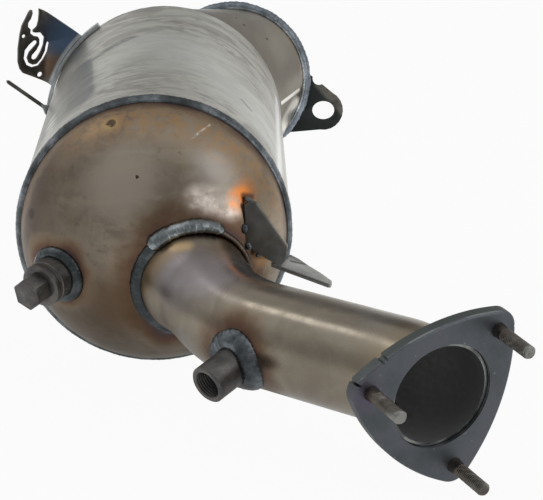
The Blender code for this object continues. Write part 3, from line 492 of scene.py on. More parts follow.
class Finish(Pattern):
    """One material, built up from patterns in the piece's own space."""

    def __init__(self, name, roughness=0.4, metallic=1.0):
        self.material = bpy.data.materials.new(name)
        self.material.use_nodes = True
        super().__init__(self.material.node_tree, "Object")
        self.shader = self.tree.nodes["Principled BSDF"]
        self.gloss(roughness)
        self.shader.inputs["Metallic"].default_value = metallic

    def mapped(self, space=None, shift=(0, 0, 0), turn=(0, 0, 0), scale=(1, 1, 1)):
        """Space that is scaled, turned and then moved."""
        node = self.add("Mapping", {"Vector": space or self.space, "Location": shift, "Rotation": turn,
                                    "Scale": scale})
        return node.outputs[0]

    def cloud(self, scale, detail=4.0, roughness=0.55, space=None, warp=0.0):
        """Noise from 0 to 1."""
        node = self.add("TexNoise", {"Vector": space or self.space, "Scale": scale, "Detail": detail,
                                     "Roughness": roughness, "Distortion": warp})
        return node.outputs[0]

    def along(self, direction, start=ORIGIN):
        """How far a point lies from a start, along a direction."""
        return self.dot(direction, self.mapped(shift=-start))

    def from_axis_of_can(self):
        """Distance from the can's axis."""
        flat = self.add("VectorMath", {0: self.mapped(shift=-ORIGIN), 1: (1, 0, 1)}, operation='MULTIPLY')
        return self.add("VectorMath", {0: flat.outputs[0]}, operation='LENGTH').outputs["Value"]

    def near(self, inside, outside, start, end=None):
        """1 within one distance in mm of a point or a line, falling to 0 at another."""
        offset = self.mapped(shift=-start)
        foot = (0, 0, 0)
        if end:
            run = end - start
            share = self.maths('ADD', self.dot(run / run.length_squared, offset), 0.0, True)
            foot = self.add("VectorMath", {0: run, "Scale": share}, operation='SCALE').outputs[0]
        gap = self.add("VectorMath", {0: offset, 1: foot}, operation='DISTANCE')
        return self.spread(gap.outputs["Value"], inside * MM, outside * MM, 1.0, 0.0)

    def marks(self, tone, *rows):
        """Lay soft marks over a tone. A row has a mark's inner and outer reach in mm, the one or two points
        it lies at, its colour and its weights."""
        for inside, outside, ends, colour, *weights in rows:
            share = self.near(inside, outside, *(from_can(*end) for end in ends))
            tone = self.over(tone, colour, share, *weights)
        return tone

    def colour(self, value):
        self.feed(self.shader.inputs["Base Color"], value)

    def gloss(self, value):
        self.feed(self.shader.inputs["Roughness"], value)

    def bumps(self, *heights):
        """Stack of (height, distance) reliefs, with the distances in mm."""
        normal = None
        for height, distance in heights:
            inputs = {"Height": height, "Distance": distance * MM, "Strength": 1.0}
            if normal:
                inputs["Normal"] = normal
            normal = self.add("Bump", inputs).outputs[0]
        self.feed(self.shader.inputs["Normal"], normal)


def make_can_finish():
    """Brushed steel with smears, rubbed patches and stains, and painted highlights: a broad band over its top
    and a line of light along its right side.
    """
    finish = Finish("brushed_can_steel")
    parts = finish.add("SeparateXYZ", {0: finish.mapped(shift=-ORIGIN)}).outputs
    turn = finish.maths('ARCTAN2', parts["X"], parts["Z"])
    around = finish.maths('MULTIPLY', turn, CAN_RADIUS)
    skin = finish.add("CombineXYZ", {0: around, 1: parts["Y"], 2: 0.0}).outputs[0]

    def strokes_at(degrees, scale, detail, roughness, warp=0.0):
        turned = finish.mapped(skin, turn=(0, 0, radians(degrees)))
        return finish.cloud(1.0, detail, roughness, finish.mapped(turned, scale=(*scale, 1)), warp)

    smears = strokes_at(-12, (24, 46), 5, 0.65, 1.0)
    rubs = strokes_at(8, (50, 120), 6, 0.7, 0.7)
    broad = strokes_at(0, (14, 20), 3, 0.5, 0.6)
    strokes = finish.blend(0.5, strokes_at(0, (28, 280), 5, 0.6), strokes_at(10, (45, 170), 4, 0.6))
    tone = finish.ramp(strokes, (0.34, (0.56, 0.55, 0.50)), (0.50, (0.64, 0.63, 0.575)),
                       (0.66, (0.72, 0.71, 0.65)))
    dirty = finish.spread(finish.along((0, 0, 1)), 10 * MM, 45 * MM, 0.3, 1.0)
    tone = finish.over(tone, (0.325, 0.31, 0.275), finish.spread(smears, 0.45, 0.58, 0.0, 0.62), dirty)
    tone = finish.over(tone, (0.30, 0.30, 0.285), finish.spread(rubs, 0.50, 0.62, 0.0, 0.5), dirty)
    tone = finish.over(tone, (0.66, 0.66, 0.62), finish.spread(broad, 0.48, 0.62, 0.0, 0.5))
    finish.colour(finish.marks(
        tone,
        # Painted highlight: a broad light band over the can's top.
        (8, 56, ((0, 140, 76), (56, 60, 52)), (0.78, 0.79, 0.75), 0.7),
        (8, 11.5, ((-50, 150, 58), (-43, 40, 63.5)), (0.235, 0.25, 0.265),
         finish.spread(smears, 0.36, 0.52, 0.45, 0.95)),
        (2.5, 9, ((-33, 118, 69), (-29, 35, 71)), (0.70, 0.70, 0.65),
         finish.spread(rubs, 0.42, 0.55, 0.8, 0.2)),
        (1.5, 8, ((-40, 150, 65.5), (-20, 165, 74)), (0.20, 0.205, 0.20),
         finish.spread(rubs, 0.40, 0.55, 0.2, 0.8)),
        (0.5, 2.2, ((49.5, 66, 58.4), (54.5, 60, 53.8)), (0.22, 0.23, 0.21), 0.75),
        (0.4, 1.4, ((64.3, 48, 41.5),), (0.22, 0.23, 0.21), 0.75),
        (4, 44, ((-66, 235, 38), (-70, 60, 30)), (0.25, 0.24, 0.215), 0.75),
        (5, 30, ((-60, 150, 48), (-52, 40, 56)), (0.27, 0.265, 0.245), 0.8),
        (2, 8, ((-63, 75, 43.5), (-58, 15, 50)), (0.74, 0.73, 0.68),
         finish.spread(rubs, 0.42, 0.55, 0.85, 0.1)),
        # Painted highlight: a white line along the can's right side.
        (1, 6.5, ((73, 215, 23), (70.5, 10, 30)), (1.0, 1.0, 0.98))))
    finish.gloss(finish.spread(rubs, 0.3, 0.7, 0.36, 0.48))
    finish.bumps((strokes, 0.03), (broad, 0.5))
    return finish.material


def heat_tints(finish, base, wobble_size=0.30):
    """Dark, brown and straw bands that run out from the welds."""
    wobble = finish.spread(finish.cloud(38, 4, 0.6), 0.25, 0.75, -wobble_size, wobble_size)
    gap = finish.add("Attribute", attribute_name="weld_share").outputs["Fac"]
    share = finish.maths('ADD', gap, wobble)
    band = finish.ramp(share, (0.0, (0.13, 0.115, 0.115)), (0.14, (0.115, 0.078, 0.072)),
                       (0.34, (0.155, 0.09, 0.062)), (0.62, (0.21, 0.148, 0.10)), (1.0, (0.30, 0.235, 0.165)))
    return finish.over(base, band, finish.spread(share, 0.5, 1.25, 1.0, 0.0))


def make_dome_finish():
    """Mottled straw-coloured steel, gilt at its upper rim, with scorched spots, a dent and a scratch; painted
    highlights on its upper left and near the bracket, and painted shade towards its lower left and in the
    dent.
    """
    finish = Finish("heat_tinted_dome_steel")
    broad = finish.cloud(16, 4, 0.55, warp=0.4)
    fine = finish.cloud(90, 5, 0.6)
    stains = finish.cloud(30, 6, 0.62, warp=0.3)
    streaks = finish.cloud(1.0, 4, 0.6, finish.mapped(scale=(26, 26, 120)), 0.4)
    flecks = finish.cloud(190, 4, 0.65)
    tone = finish.ramp(broad, (0.30, (0.25, 0.210, 0.168)), (0.50, (0.32, 0.272, 0.215)),
                       (0.70, (0.375, 0.320, 0.255)))
    for pattern, low, high, strength, colour in (
            (fine, 0.42, 0.66, 0.45, (0.19, 0.155, 0.125)), (stains, 0.50, 0.68, 0.3, (0.36, 0.29, 0.20)),
            (stains, 0.47, 0.36, 0.6, (0.19, 0.15, 0.125)), (streaks, 0.50, 0.66, 0.45, (0.44, 0.375, 0.29)),
            (flecks, 0.56, 0.70, 0.45, (0.14, 0.115, 0.095))):
        tone = finish.over(tone, colour, finish.spread(pattern, low, high, 0.0, strength))
    tone = finish.marks(
        tone,
        # Painted highlights: two light patches on the dome's upper left.
        (4, 28, ((-18, -40, 36),), (0.49, 0.425, 0.35)),
        (3, 24, ((-10, -39, 45),), (0.50, 0.43, 0.36), 0.65),
        (2, 22, ((35, -32, 46),), (0.31, 0.29, 0.27), 0.85),
        (4, 34, ((-60, -12, 42), (-36, -8, 64)), (0.17, 0.13, 0.095), 0.72),
        (4, 30, ((42, -20, 56),), (0.27, 0.235, 0.20), 0.4))
    # Painted shade: the dome darkens towards its lower left and in a band along its left edge.
    shaded_side = finish.maths('ADD', finish.along((-0.75, 0, -0.66)),
                               finish.spread(broad, 0.3, 0.7, -14 * MM, 14 * MM))
    tone = finish.over(tone, (0.14, 0.112, 0.085), finish.spread(shaded_side, 10 * MM, 58 * MM, 0.0, 0.8))
    tone = finish.marks(tone, (4, 30, ((-72, -12, 30), (-64, -18, -22)), (0.13, 0.105, 0.09), 0.85))
    upward = finish.spread(finish.along((0.35, 0, 0.94)), 20 * MM, 58 * MM, 0.05, 0.85)
    tone = finish.over(tone, (0.42, 0.27, 0.145), finish.spread(finish.from_axis_of_can(), 54 * MM, 71 * MM),
                       upward, finish.spread(flecks, 0.38, 0.56, 0.15, 1.0))
    tone = finish.marks(
        heat_tints(finish, tone),
        (5, 30, ((-18, -44, -30),), (0.15, 0.095, 0.055), 0.75),
        # Painted highlight: a white-pink glow on the dome near the bracket.
        (1, 11, ((25, -43, 30), (43, -38, 24.5)), (1.0, 0.88, 0.80),
         finish.spread(fine, 0.38, 0.6, 0.35, 1.0)),
        (3, 10, ((47, -35, 27), (52, -30, 31)), (0.62, 0.27, 0.11), finish.spread(fine, 0.3, 0.6, 0.3, 0.9)),
        (0.5, 7, ((45.5, -36, 28), (50, -32, 29.5)), (0.98, 0.33, 0.08), finish.spread(fine, 0.3, 0.5)),
        (2, 10, ((61, -28, -6),), (0.50, 0.27, 0.12), finish.spread(fine, 0.3, 0.6, 0.3, 0.8)),
        (0.6, 3.2, ((50, -32.5, 28.5), (55, -30, 27.5)), (0.07, 0.045, 0.04), 0.85),
        (2.5, 7.5, ((-22.9, -19, 65.2),), (0.50, 0.35, 0.17), 0.8),
        (1.5, 4.5, ((-67, -20.5, 15),), (0.07, 0.055, 0.05), 0.7))
    # Painted shade fills the dent, and a painted highlight lights its lower left rim.
    lit = finish.maths('MULTIPLY', finish.near(0.6, 2.6, from_can(-24, -20.3, 64.3)), 0.8)
    dent = finish.maths('SUBTRACT', finish.near(1.7, 3.4, from_can(-22.3, -18.6, 65.4)), lit, True)
    pit = finish.near(0.5, 1.4, from_can(-7.6, -41.3, 41.5))
    for hollow, strength in ((dent, 0.85), (pit, 1.0)):
        tone = finish.over(tone, (0.07, 0.055, 0.05), hollow, strength)
    scratch = finish.near(0.2, 1.0, from_can(31.4, -15.5, 64), from_can(20.6, -28.9, 58.9))
    scratch = finish.maths('MULTIPLY', scratch, finish.spread(finish.cloud(400, 2), 0.38, 0.52, 0.1, 0.75))
    finish.colour(finish.over(tone, (0.75, 0.70, 0.62), scratch))
    finish.gloss(finish.spread(stains, 0.3, 0.7, 0.44, 0.29))
    finish.bumps((finish.cloud(25, 2, 0.5), 0.35), (fine, 0.04), (finish.maths('MAXIMUM', dent, pit), -0.9),
                 (scratch, -0.2))
    return finish.material


def make_cone_finish():
    """Heat-tinted steel of the inlet end, with specks, and a bright facet and a bright crease that are
    painted highlights.
    """
    finish = Finish("heat_tinted_cone_steel")
    broad = finish.cloud(18, 4, 0.55, warp=0.4)
    fine = finish.cloud(120, 5, 0.6)
    tone = finish.ramp(broad, (0.30, (0.20, 0.18, 0.155)), (0.50, (0.265, 0.24, 0.205)),
                       (0.70, (0.33, 0.305, 0.26)))
    finish.colour(finish.marks(
        heat_tints(finish, tone, 0.25),
        (0.75, 1.5, ((51.9, 270.9, 60.8),), (0.07, 0.06, 0.055), 0.85),
        (0.65, 1.3, ((67.3, 275.6, 50.4),), (0.07, 0.06, 0.055), 0.85),
        (0.5, 1.0, ((46.6, 274.7, 64.8),), (0.07, 0.06, 0.055), 0.85),
        # Painted highlights: a light facet low on the cone and a bright crease above it.
        (5, 9, ((87, 279, 3), (80.5, 267, -5)), (0.84, 0.81, 0.72), 0.9),
        (0.5, 1.9, ((77.4, 261, 10), (89.4, 284.2, 13.4)), (1.0, 0.98, 0.92))))
    finish.gloss(finish.spread(broad, 0.3, 0.7, 0.38, 0.28))
    finish.bumps((finish.cloud(25, 2, 0.5), 0.25), (fine, 0.04))
    return finish.material


def make_pipe_finish():
    """Glossy pipe: violet over its first bend, lightened there as a painted highlight, a painted gold
    highlight at its root, straw at both ends and a worn rim in the flange's bore.
    """
    finish = Finish("polished_pipe_steel")
    broad = finish.cloud(20, 4, 0.55, warp=0.5)
    fine = finish.cloud(110, 5, 0.6)
    tone = finish.ramp(broad, (0.30, (0.262, 0.225, 0.18)), (0.5, (0.335, 0.295, 0.235)),
                       (0.70, (0.325, 0.302, 0.27)))
    tone = finish.over(tone, (0.23, 0.20, 0.175), finish.spread(fine, 0.45, 0.75, 0.0, 0.2))
    # Violet tint over the first bend, lightened as a painted highlight.
    tone = finish.marks(tone, (6, 26, ((14, -74, 0), (38, -88, -2)), (0.41, 0.375, 0.41), 0.8))
    tone = finish.marks(heat_tints(finish, tone, 0.16),
                        (4, 14, ((-8, -55, -12), (10, -58, 12)), (0.40, 0.29, 0.18), 0.7))
    blotches = finish.cloud(1.0, 4, 0.6, finish.mapped(turn=(0, 0, radians(-28)), scale=(40, 40, 40)), 0.8)
    tone = finish.over(tone, (0.22, 0.19, 0.155), finish.spread(blotches, 0.48, 0.66, 0.0, 0.35))
    # Painted highlight: a gold streak on top of the pipe's root.
    tone = finish.marks(tone, (0.5, 6.5, ((12, -58.5, 10), (19, -60, 10)), (0.85, 0.62, 0.34), 0.85))
    depth = finish.along(FLANGE_NORMAL, FLANGE_CENTRE)
    tone = finish.over(tone, (0.40, 0.31, 0.20), finish.spread(depth, -42 * MM, -16 * MM, 0.0, 0.5))
    worn = finish.blend(finish.spread(finish.cloud(70, 3), 0.4, 0.6), (0.13, 0.14, 0.135), (0.38, 0.39, 0.38))
    finish.colour(finish.over(tone, worn, finish.spread(depth, -2.6 * MM, -2.2 * MM)))
    dull_root = finish.maths('MULTIPLY', finish.near(16, 56, from_can(12, -58, -16)), 0.22)
    dull_boss = finish.maths('MULTIPLY', finish.near(12, 36, PIPE_BOSS_FRAME.translation), 0.16)
    polish = finish.spread(finish.cloud(40, 4, 0.6), 0.35, 0.65, 0.31, 0.17)
    finish.gloss(finish.maths('ADD', polish, finish.maths('ADD', dull_root, dull_boss)))
    finish.bumps((finish.cloud(26, 3, 0.5), 0.30), (fine, 0.02))
    return finish.material


def make_weld_finish(name, dark, middle, light, roughness=0.36):
    """Pitted weld metal, with painted shade that makes it darkest under the pipe's boss."""
    finish = Finish(name)
    broad = finish.cloud(75, 4, 0.6)
    fine = finish.cloud(520, 4, 0.6)
    tone = finish.ramp(broad, (0.32, dark), (0.5, middle), (0.66, light))
    # Painted shade on the weld under the pipe's boss.
    painted_shade_under_boss = finish.near(7, 15, min(pipe_boss_path, key=lambda spot: spot.z))
    tone = finish.over(tone, (0.065, 0.062, 0.056), painted_shade_under_boss, 0.85)
    finish.colour(finish.over(tone, (0.045, 0.045, 0.042), finish.spread(fine, 0.50, 0.75, 0.0, 0.55)))
    finish.gloss(finish.spread(broad, 0.3, 0.7, roughness + 0.05, roughness - 0.08))
    finish.bumps((finish.cloud(260, 3, 0.5), 0.25), (fine, 0.08))
    return finish.material


def make_flange_finish():
    """Slate-coloured plate with a darker edge and a worn line where the face turns into it."""
    finish = Finish("dark_flange_steel")
    broad = finish.cloud(28, 4, 0.55)
    fine = finish.cloud(500, 4, 0.65)
    tone = finish.ramp(broad, (0.35, (0.105, 0.12, 0.13)), (0.5, (0.137, 0.150, 0.166)),
                       (0.68, (0.155, 0.158, 0.182)))
    depth = finish.along(FLANGE_NORMAL, FLANGE_CENTRE)
    tone = finish.over(tone, (0.125, 0.142, 0.14), finish.spread(depth, -1.3 * MM, -2.2 * MM))
    tone = finish.over(tone, (0.34, 0.36, 0.35), finish.spread(depth, -0.5 * MM, -0.9 * MM),
                       finish.spread(depth, -1.6 * MM, -1.2 * MM),
                       finish.spread(finish.cloud(60, 4, 0.6), 0.42, 0.62, 0.05, 0.9))
    violet = finish.near(3, 13, FLANGE_FRAME @ Vector((-44 * MM, -2 * MM, 0)))
    tone = finish.over(tone, (0.16, 0.13, 0.19), violet, 0.6)
    specks = finish.spread(finish.cloud(260, 2, 0.5), 0.70, 0.76, 0.0, 0.5)
    finish.colour(finish.over(tone, (0.35, 0.37, 0.38), specks))
    finish.gloss(finish.spread(fine, 0.3, 0.7, 0.52, 0.42))
    finish.bumps((broad, 0.5), (fine, 0.03))
    return finish.material


def two_clouds(name, broad_scale, fine_scale):
    """Finish with a broad and a fine noise for its patterns."""
    finish = Finish(name)
    return finish, finish.cloud(broad_scale, 4, 0.6), finish.cloud(fine_scale, 4, 0.65)


def make_stud_finish():
    """Studs: brown next to the plate, greyer and brighter at their ends."""
    finish, broad, fine = two_clouds("worn_stud_steel", 90, 600)
    height = finish.maths('ADD', finish.along(FLANGE_NORMAL, FLANGE_CENTRE),
                          finish.spread(broad, 0.3, 0.7, -4 * MM, 4 * MM))
    root = finish.ramp(broad, (0.4, (0.125, 0.108, 0.094)), (0.6, (0.20, 0.172, 0.148)))
    end = finish.ramp(broad, (0.35, (0.13, 0.12, 0.105)), (0.55, (0.20, 0.19, 0.17)),
                      (0.7, (0.36, 0.35, 0.33)))
    tone = finish.over(root, end, finish.spread(height, 6 * MM, 17 * MM))
    tone = finish.over(tone, (0.34, 0.34, 0.325), finish.spread(height, 25.5 * MM, 26.5 * MM, 0.0, 0.75))
    finish.colour(finish.over(tone, (0.09, 0.08, 0.07), finish.spread(fine, 0.5, 0.8, 0.0, 0.5)))
    finish.gloss(finish.spread(fine, 0.3, 0.7, 0.46, 0.32))
    finish.bumps((fine, 0.05))
    return finish.material


def make_boss_finish():
    """Bosses, plug and rings: tinted grey, with a dark bore in the open boss."""
    finish, broad, fine = two_clouds("tinted_boss_steel", 90, 600)
    tone = finish.ramp(broad, (0.35, (0.11, 0.107, 0.108)), (0.5, (0.165, 0.158, 0.153)),
                       (0.66, (0.235, 0.228, 0.212)))
    tone = finish.over(tone, (0.08, 0.08, 0.08), finish.spread(fine, 0.5, 0.8, 0.0, 0.5))
    foot = PIPE_BOSS_FRAME.translation
    finish.colour(finish.over(tone, (0.05, 0.05, 0.05),
                              finish.near(7.0, 7.7, foot, foot + PIPE_BOSS_AXIS * PIPE_BOSS_HEIGHT)))
    finish.gloss(finish.spread(fine, 0.3, 0.7, 0.52, 0.38))
    finish.bumps((fine, 0.05))
    return finish.material


def make_clip_finish():
    """Heat-tinted clip: blue and brown on the leaf, blue-grey on the strap that lies on the can."""
    finish, broad, fine = two_clouds("heat_tinted_clip_steel", 60, 500)
    tone = finish.ramp(broad, (0.35, (0.085, 0.078, 0.070)), (0.55, (0.125, 0.118, 0.108)),
                       (0.7, (0.18, 0.175, 0.165)))
    tone = finish.marks(tone, (5, 22, ((-66, 252, 57),), (0.085, 0.135, 0.225), 0.9),
                        (3, 13, ((-74, 252, 36),), (0.165, 0.10, 0.065), 0.8))
    strap = finish.spread(finish.from_axis_of_can(), 80.5 * MM, 82.5 * MM, 1.0, 0.0)
    tone = finish.over(tone, finish.ramp(broad, (0.4, (0.34, 0.36, 0.37)), (0.6, (0.50, 0.53, 0.54))), strap)
    finish.colour(finish.over(tone, (0.16, 0.15, 0.14), finish.spread(fine, 0.55, 0.8, 0.0, 0.35)))
    finish.gloss(finish.spread(broad, 0.3, 0.7, 0.5, 0.36))
    finish.bumps((fine, 0.04), (broad, 0.3))
    return finish.material


def make_bracket_finish():
    """Black brackets: darkest on the eye bracket at the inlet end, with two worn edges."""
    finish, broad, fine = two_clouds("black_bracket_steel", 50, 500)
    tone = finish.ramp(broad, (0.35, (0.09, 0.088, 0.086)), (0.55, (0.14, 0.138, 0.134)),
                       (0.7, (0.20, 0.20, 0.20)))
    tone = finish.over(tone, (0.16, 0.15, 0.14), finish.spread(fine, 0.55, 0.8, 0.0, 0.35))
    broken = finish.spread(broad, 0.35, 0.6, 0.3, 1.0)
    finish.colour(finish.marks(
        tone,
        (22, 60, ((106, 299, 0),), (0.038, 0.047, 0.047), 0.85),
        (0.3, 1.2, ((57, -36.5, 25), (73.7, -36.5, 0.5)), (0.31, 0.29, 0.25), 0.8, broken),
        (2.5, 6, ((105, 302, 14), (122, 298, -4)), (0.31, 0.29, 0.25), 0.75, broken)))
    finish.gloss(finish.spread(broad, 0.3, 0.7, 0.5, 0.36))
    finish.bumps((fine, 0.04))
    return finish.material


def make_tab_finish():
    """Bare bright sheet with a dark front edge, and painted shade along a fold and over a flap behind it."""
    finish, broad, fine = two_clouds("bare_tab_steel", 60, 500)
    tone = finish.ramp(broad, (0.35, (0.36, 0.36, 0.345)), (0.5, (0.46, 0.46, 0.44)),
                       (0.66, (0.55, 0.55, 0.53)))
    front_edge = finish.spread(finish.along((0, 1, 0)), -35.9 * MM, -36.3 * MM)
    tone = finish.over(tone, (0.20, 0.20, 0.195), front_edge)
    # Painted shade: a dark line along a fold and a darkened flap beside it.
    fold = finish.near(0.8, 2.2, from_can(76.5, -20, -13), from_can(83.5, -16, -15.5))
    flap = finish.maths('MULTIPLY', finish.near(2, 7, from_can(77, -8, -13), from_can(81, -12, -14)), 0.6)
    tone = finish.over(tone, (0.09, 0.10, 0.095), finish.maths('MAXIMUM', fold, flap))
    finish.colour(finish.over(tone, (0.16, 0.16, 0.15), finish.spread(fine, 0.5, 0.8, 0.0, 0.4)))
    finish.gloss(0.42)
    finish.bumps((fine, 0.04))
    return finish.material


def make_ceramic_finish():
    """Chequered face of the filter brick."""
    finish = Finish("honeycomb_ceramic", 0.9, 0.0)
    cell = 1.5 * MM
    cells = finish.add("TexChecker", {"Vector": finish.mapped(shift=-ORIGIN), "Scale": 1 / cell})
    tone = finish.blend(finish.cloud(900, 3), (0.08, 0.08, 0.085), (0.15, 0.15, 0.155))
    finish.colour(finish.over(tone, (0.03, 0.03, 0.03), cells.outputs["Fac"]))
    return finish.material


def make_mat_finish():
    """Pale fibres of the support mat."""
    finish = Finish("fibre_mat", 0.95, 0.0)
    fibres = finish.cloud(1200, 4, 0.7)
    finish.colour(finish.blend(fibres, (0.55, 0.52, 0.44), (0.82, 0.80, 0.72)))
    finish.bumps((fibres, 0.2))
    return finish.material


def make_soot_finish():
    """Sooty inside of the pipe, darkest near its open end."""
    finish = Finish("sooty_lining", 0.9, 0.0)
    fine = finish.cloud(300, 4)
    depth = finish.along(FLANGE_NORMAL, FLANGE_CENTRE)
    tone = finish.blend(finish.spread(depth, -8 * MM, -60 * MM), (0.13, 0.13, 0.13), (0.48, 0.48, 0.48))
    finish.colour(finish.over(tone, (0.08, 0.08, 0.08), finish.spread(fine, 0.3, 0.7, 0.0, 0.25)))
    finish.bumps((fine, 0.05))
    return finish.material


can_steel = make_can_finish()
dome_steel = make_dome_finish()
cone_steel = make_cone_finish()
pipe_steel = make_pipe_finish()
weld_steel, light_weld_and_glints, burnt_weld, ring_weld, dark_weld = (make_weld_finish(*row) for row in (
    ("weld_steel", (0.06, 0.065, 0.07), (0.12, 0.137, 0.148), (0.27, 0.295, 0.325)),
    # Light weld metal, lightened further as painted glints.
    ("light_weld_and_glints_steel", (0.12, 0.135, 0.14), (0.27, 0.30, 0.315), (0.56, 0.61, 0.64), 0.28),
    ("burnt_weld_steel", (0.10, 0.085, 0.07), (0.17, 0.14, 0.115), (0.25, 0.21, 0.175)),
    ("ring_weld_steel", (0.16, 0.185, 0.212), (0.235, 0.268, 0.305), (0.33, 0.375, 0.425), 0.42),
    ("dark_weld_steel", (0.045, 0.05, 0.052), (0.08, 0.092, 0.098), (0.14, 0.16, 0.168))))
flange_steel = make_flange_finish()
stud_steel = make_stud_finish()
boss_steel = make_boss_finish()
bracket_steel = make_bracket_finish()
clip_steel = make_clip_finish()
tab_steel = make_tab_finish()
ceramic = make_ceramic_finish()
fibre = make_mat_finish()
soot = make_soot_finish()


def note_gaps(piece, *welds):
    """Store how far each point lies from the welds, as a share of each weld's heated width."""
    far = 9.0
    values = [far] * len(piece.data.vertices)
    for path, width in welds:
        tree = kdtree.KDTree(len(path))
        for i, spot in enumerate(path):
            tree.insert(spot, i)
        tree.balance()
        values = [min(value, tree.find(vert.co)[2] / width)
                  for value, vert in zip(values, piece.data.vertices)]
    store = piece.data.attributes.new("weld_share", 'FLOAT', 'POINT')
    store.data.foreach_set("value", values)


# The pieces
def add_can():
    """Open can with its sheet's edges rounded."""
    rim = 0.4 * MM
    wall = [(CAN_RADIUS, y * MM) for y in range(1, 255, 6)]
    wall += [(CAN_RADIUS, CAN_LENGTH - rim), (CAN_RADIUS - rim, CAN_LENGTH), (CAN_INNER_RADIUS, CAN_LENGTH),
             (CAN_INNER_RADIUS, 0), (CAN_RADIUS - rim, 0), (CAN_RADIUS, rim)]
    finished("brushed_can", revolve(wall, CAN_FRAME, 240), can_steel, "shell_steel", "can_shell")


def add_dome():
    """Half ellipsoid with a skirt, cut for the pipe and for the boss's bore."""
    turns = [pi / 2 * i / 48 for i in range(49)]
    skin = [(DOME_RADIUS, SKIRT_DEPTH)] + [(DOME_RADIUS * cos(t), -DOME_HEIGHT * sin(t)) for t in turns[:-1]]
    skin.append((0, -DOME_HEIGHT))
    inner = [(max(0, r - SHEET * cos(t)), y + SHEET * sin(t)) for (r, y), t in zip(skin[1:], turns)]
    profile = skin + inner[::-1] + [(DOME_RADIUS - SHEET, SKIRT_DEPTH)]
    dome = finished("pressed_dome", revolve(profile, CAN_FRAME, 240), dome_steel, "dome_steel", "outlet_dome")
    sizes = [(pipe_radius(d) + FIT_GAP,) * 2 for d in distances_of(PIPE_FRAMES)]
    through = 18
    pipe_tool = close_ends(sweep(PIPE_FRAMES[:through], sizes[:through], 64))
    carve(dome, pipe_tool, rod(7.3 * MM, -20 * MM, 10 * MM, DOME_BOSS_FRAME))
    note_gaps(dome, (rim_path, 12 * MM), (root_path, 18 * MM), (dome_boss_path, 12 * MM))


def add_pipe():
    """Bent pipe with a sooty inside, cut where it meets the dome and under its boss."""
    sizes = [(pipe_radius(d),) * 2 for d in distances_of(PIPE_FRAMES)]
    bm = sweep(PIPE_FRAMES, sizes, 72)
    bmesh.ops.recalc_face_normals(bm, faces=bm.faces)
    middle = PIPE_FRAMES[20].translation
    face = min(bm.faces, key=lambda f: (f.calc_center_median() - middle).length)
    if face.normal.dot(face.calc_center_median() - middle) < 0:
        bmesh.ops.reverse_faces(bm, faces=bm.faces)
    pipe = finished("bent_pipe", bm, pipe_steel, "pipe_steel", "outlet_pipe")
    thicken(pipe, soot)
    carve(pipe, dome_form(-SHEET - 4 * MM), rod(6.6 * MM, -8 * MM, 8 * MM, PIPE_BOSS_FRAME))
    note_gaps(pipe, (root_path, 9 * MM), (pipe_boss_path, 19 * MM), (flange_path, 10 * MM))


def flange_outline():
    """Rounded triangle: three lobe arcs joined by wide arcs that touch them."""
    drop = STUD_CIRCLE_RADIUS * cos(pi / 3)
    half = STUD_CIRCLE_RADIUS * sin(pi / 3)
    slack = FLANGE_SIDE_REACH - LOBE_RADIUS
    shift = (drop ** 2 + half ** 2 - slack ** 2) / (2 * (slack - drop))
    side_radius = FLANGE_SIDE_REACH + shift
    swing = acos((shift + drop) / (side_radius - LOBE_RADIUS))
    half_turn = pi / 3 - swing
    outline = []
    for angle, lobe in zip(LOBE_ANGLES, LOBE_CENTRES):
        outline += arc(lobe, LOBE_RADIUS, angle - half_turn, angle + half_turn, 16)
        middle = angle + pi / 3
        centre = (-shift * cos(middle), -shift * sin(middle))
        outline += arc(centre, side_radius, middle - swing, middle + swing, 24)[1:-1]
    return outline


def add_flange():
    """Lobed plate with its bore, stud holes, notch and slits, and the studs."""
    bm = slab([(x, y, 0) for x, y in flange_outline()], (0, 0, -FLANGE_THICKNESS))
    front = [edge for edge in bm.edges if all(abs(vert.co.z) < 1e-6 for vert in edge.verts)]
    round_edges(bm, front, 1.6 * MM, 5)
    bm.transform(FLANGE_FRAME)
    flange = finished("lobed_flange", outward(bm), flange_steel, "flange_steel", "outlet_flange")
    low, high = -FLANGE_THICKNESS - 2 * MM, 2 * MM
    seats = [FLANGE_FRAME @ Matrix.Translation((x, y, 0)) for x, y in LOBE_CENTRES]
    tools = [rod(PIPE_RADIUS + FIT_GAP, low, high, FLANGE_FRAME, 96)]
    tools += [rod(3.95 * MM, low, high, place, 48) for place in seats]
    length = 24
    for angle, reach, width in ((157, 43.5, 3.4), (52, 49.5, 1.4), (176, 49.5, 1.4)):
        turn = FLANGE_FRAME @ Matrix.Rotation(radians(angle), 4, 'Z')
        tools.append(rod(width / 2 * MM, low, high, turn @ Matrix.Translation((reach * MM, 0, 0)), 24))
        middle = Matrix.Translation(((reach + length / 2) * MM, 0, (low + high) / 2))
        size = Matrix.Diagonal((length * MM, width * MM, high - low, 1))
        slit = bmesh.new()
        bmesh.ops.create_cube(slit, size=1, matrix=turn @ middle @ size)
        tools.append(slit)
    carve(flange, *tools)
    for number, place in enumerate(seats, 1):
        add_stud(number, place)


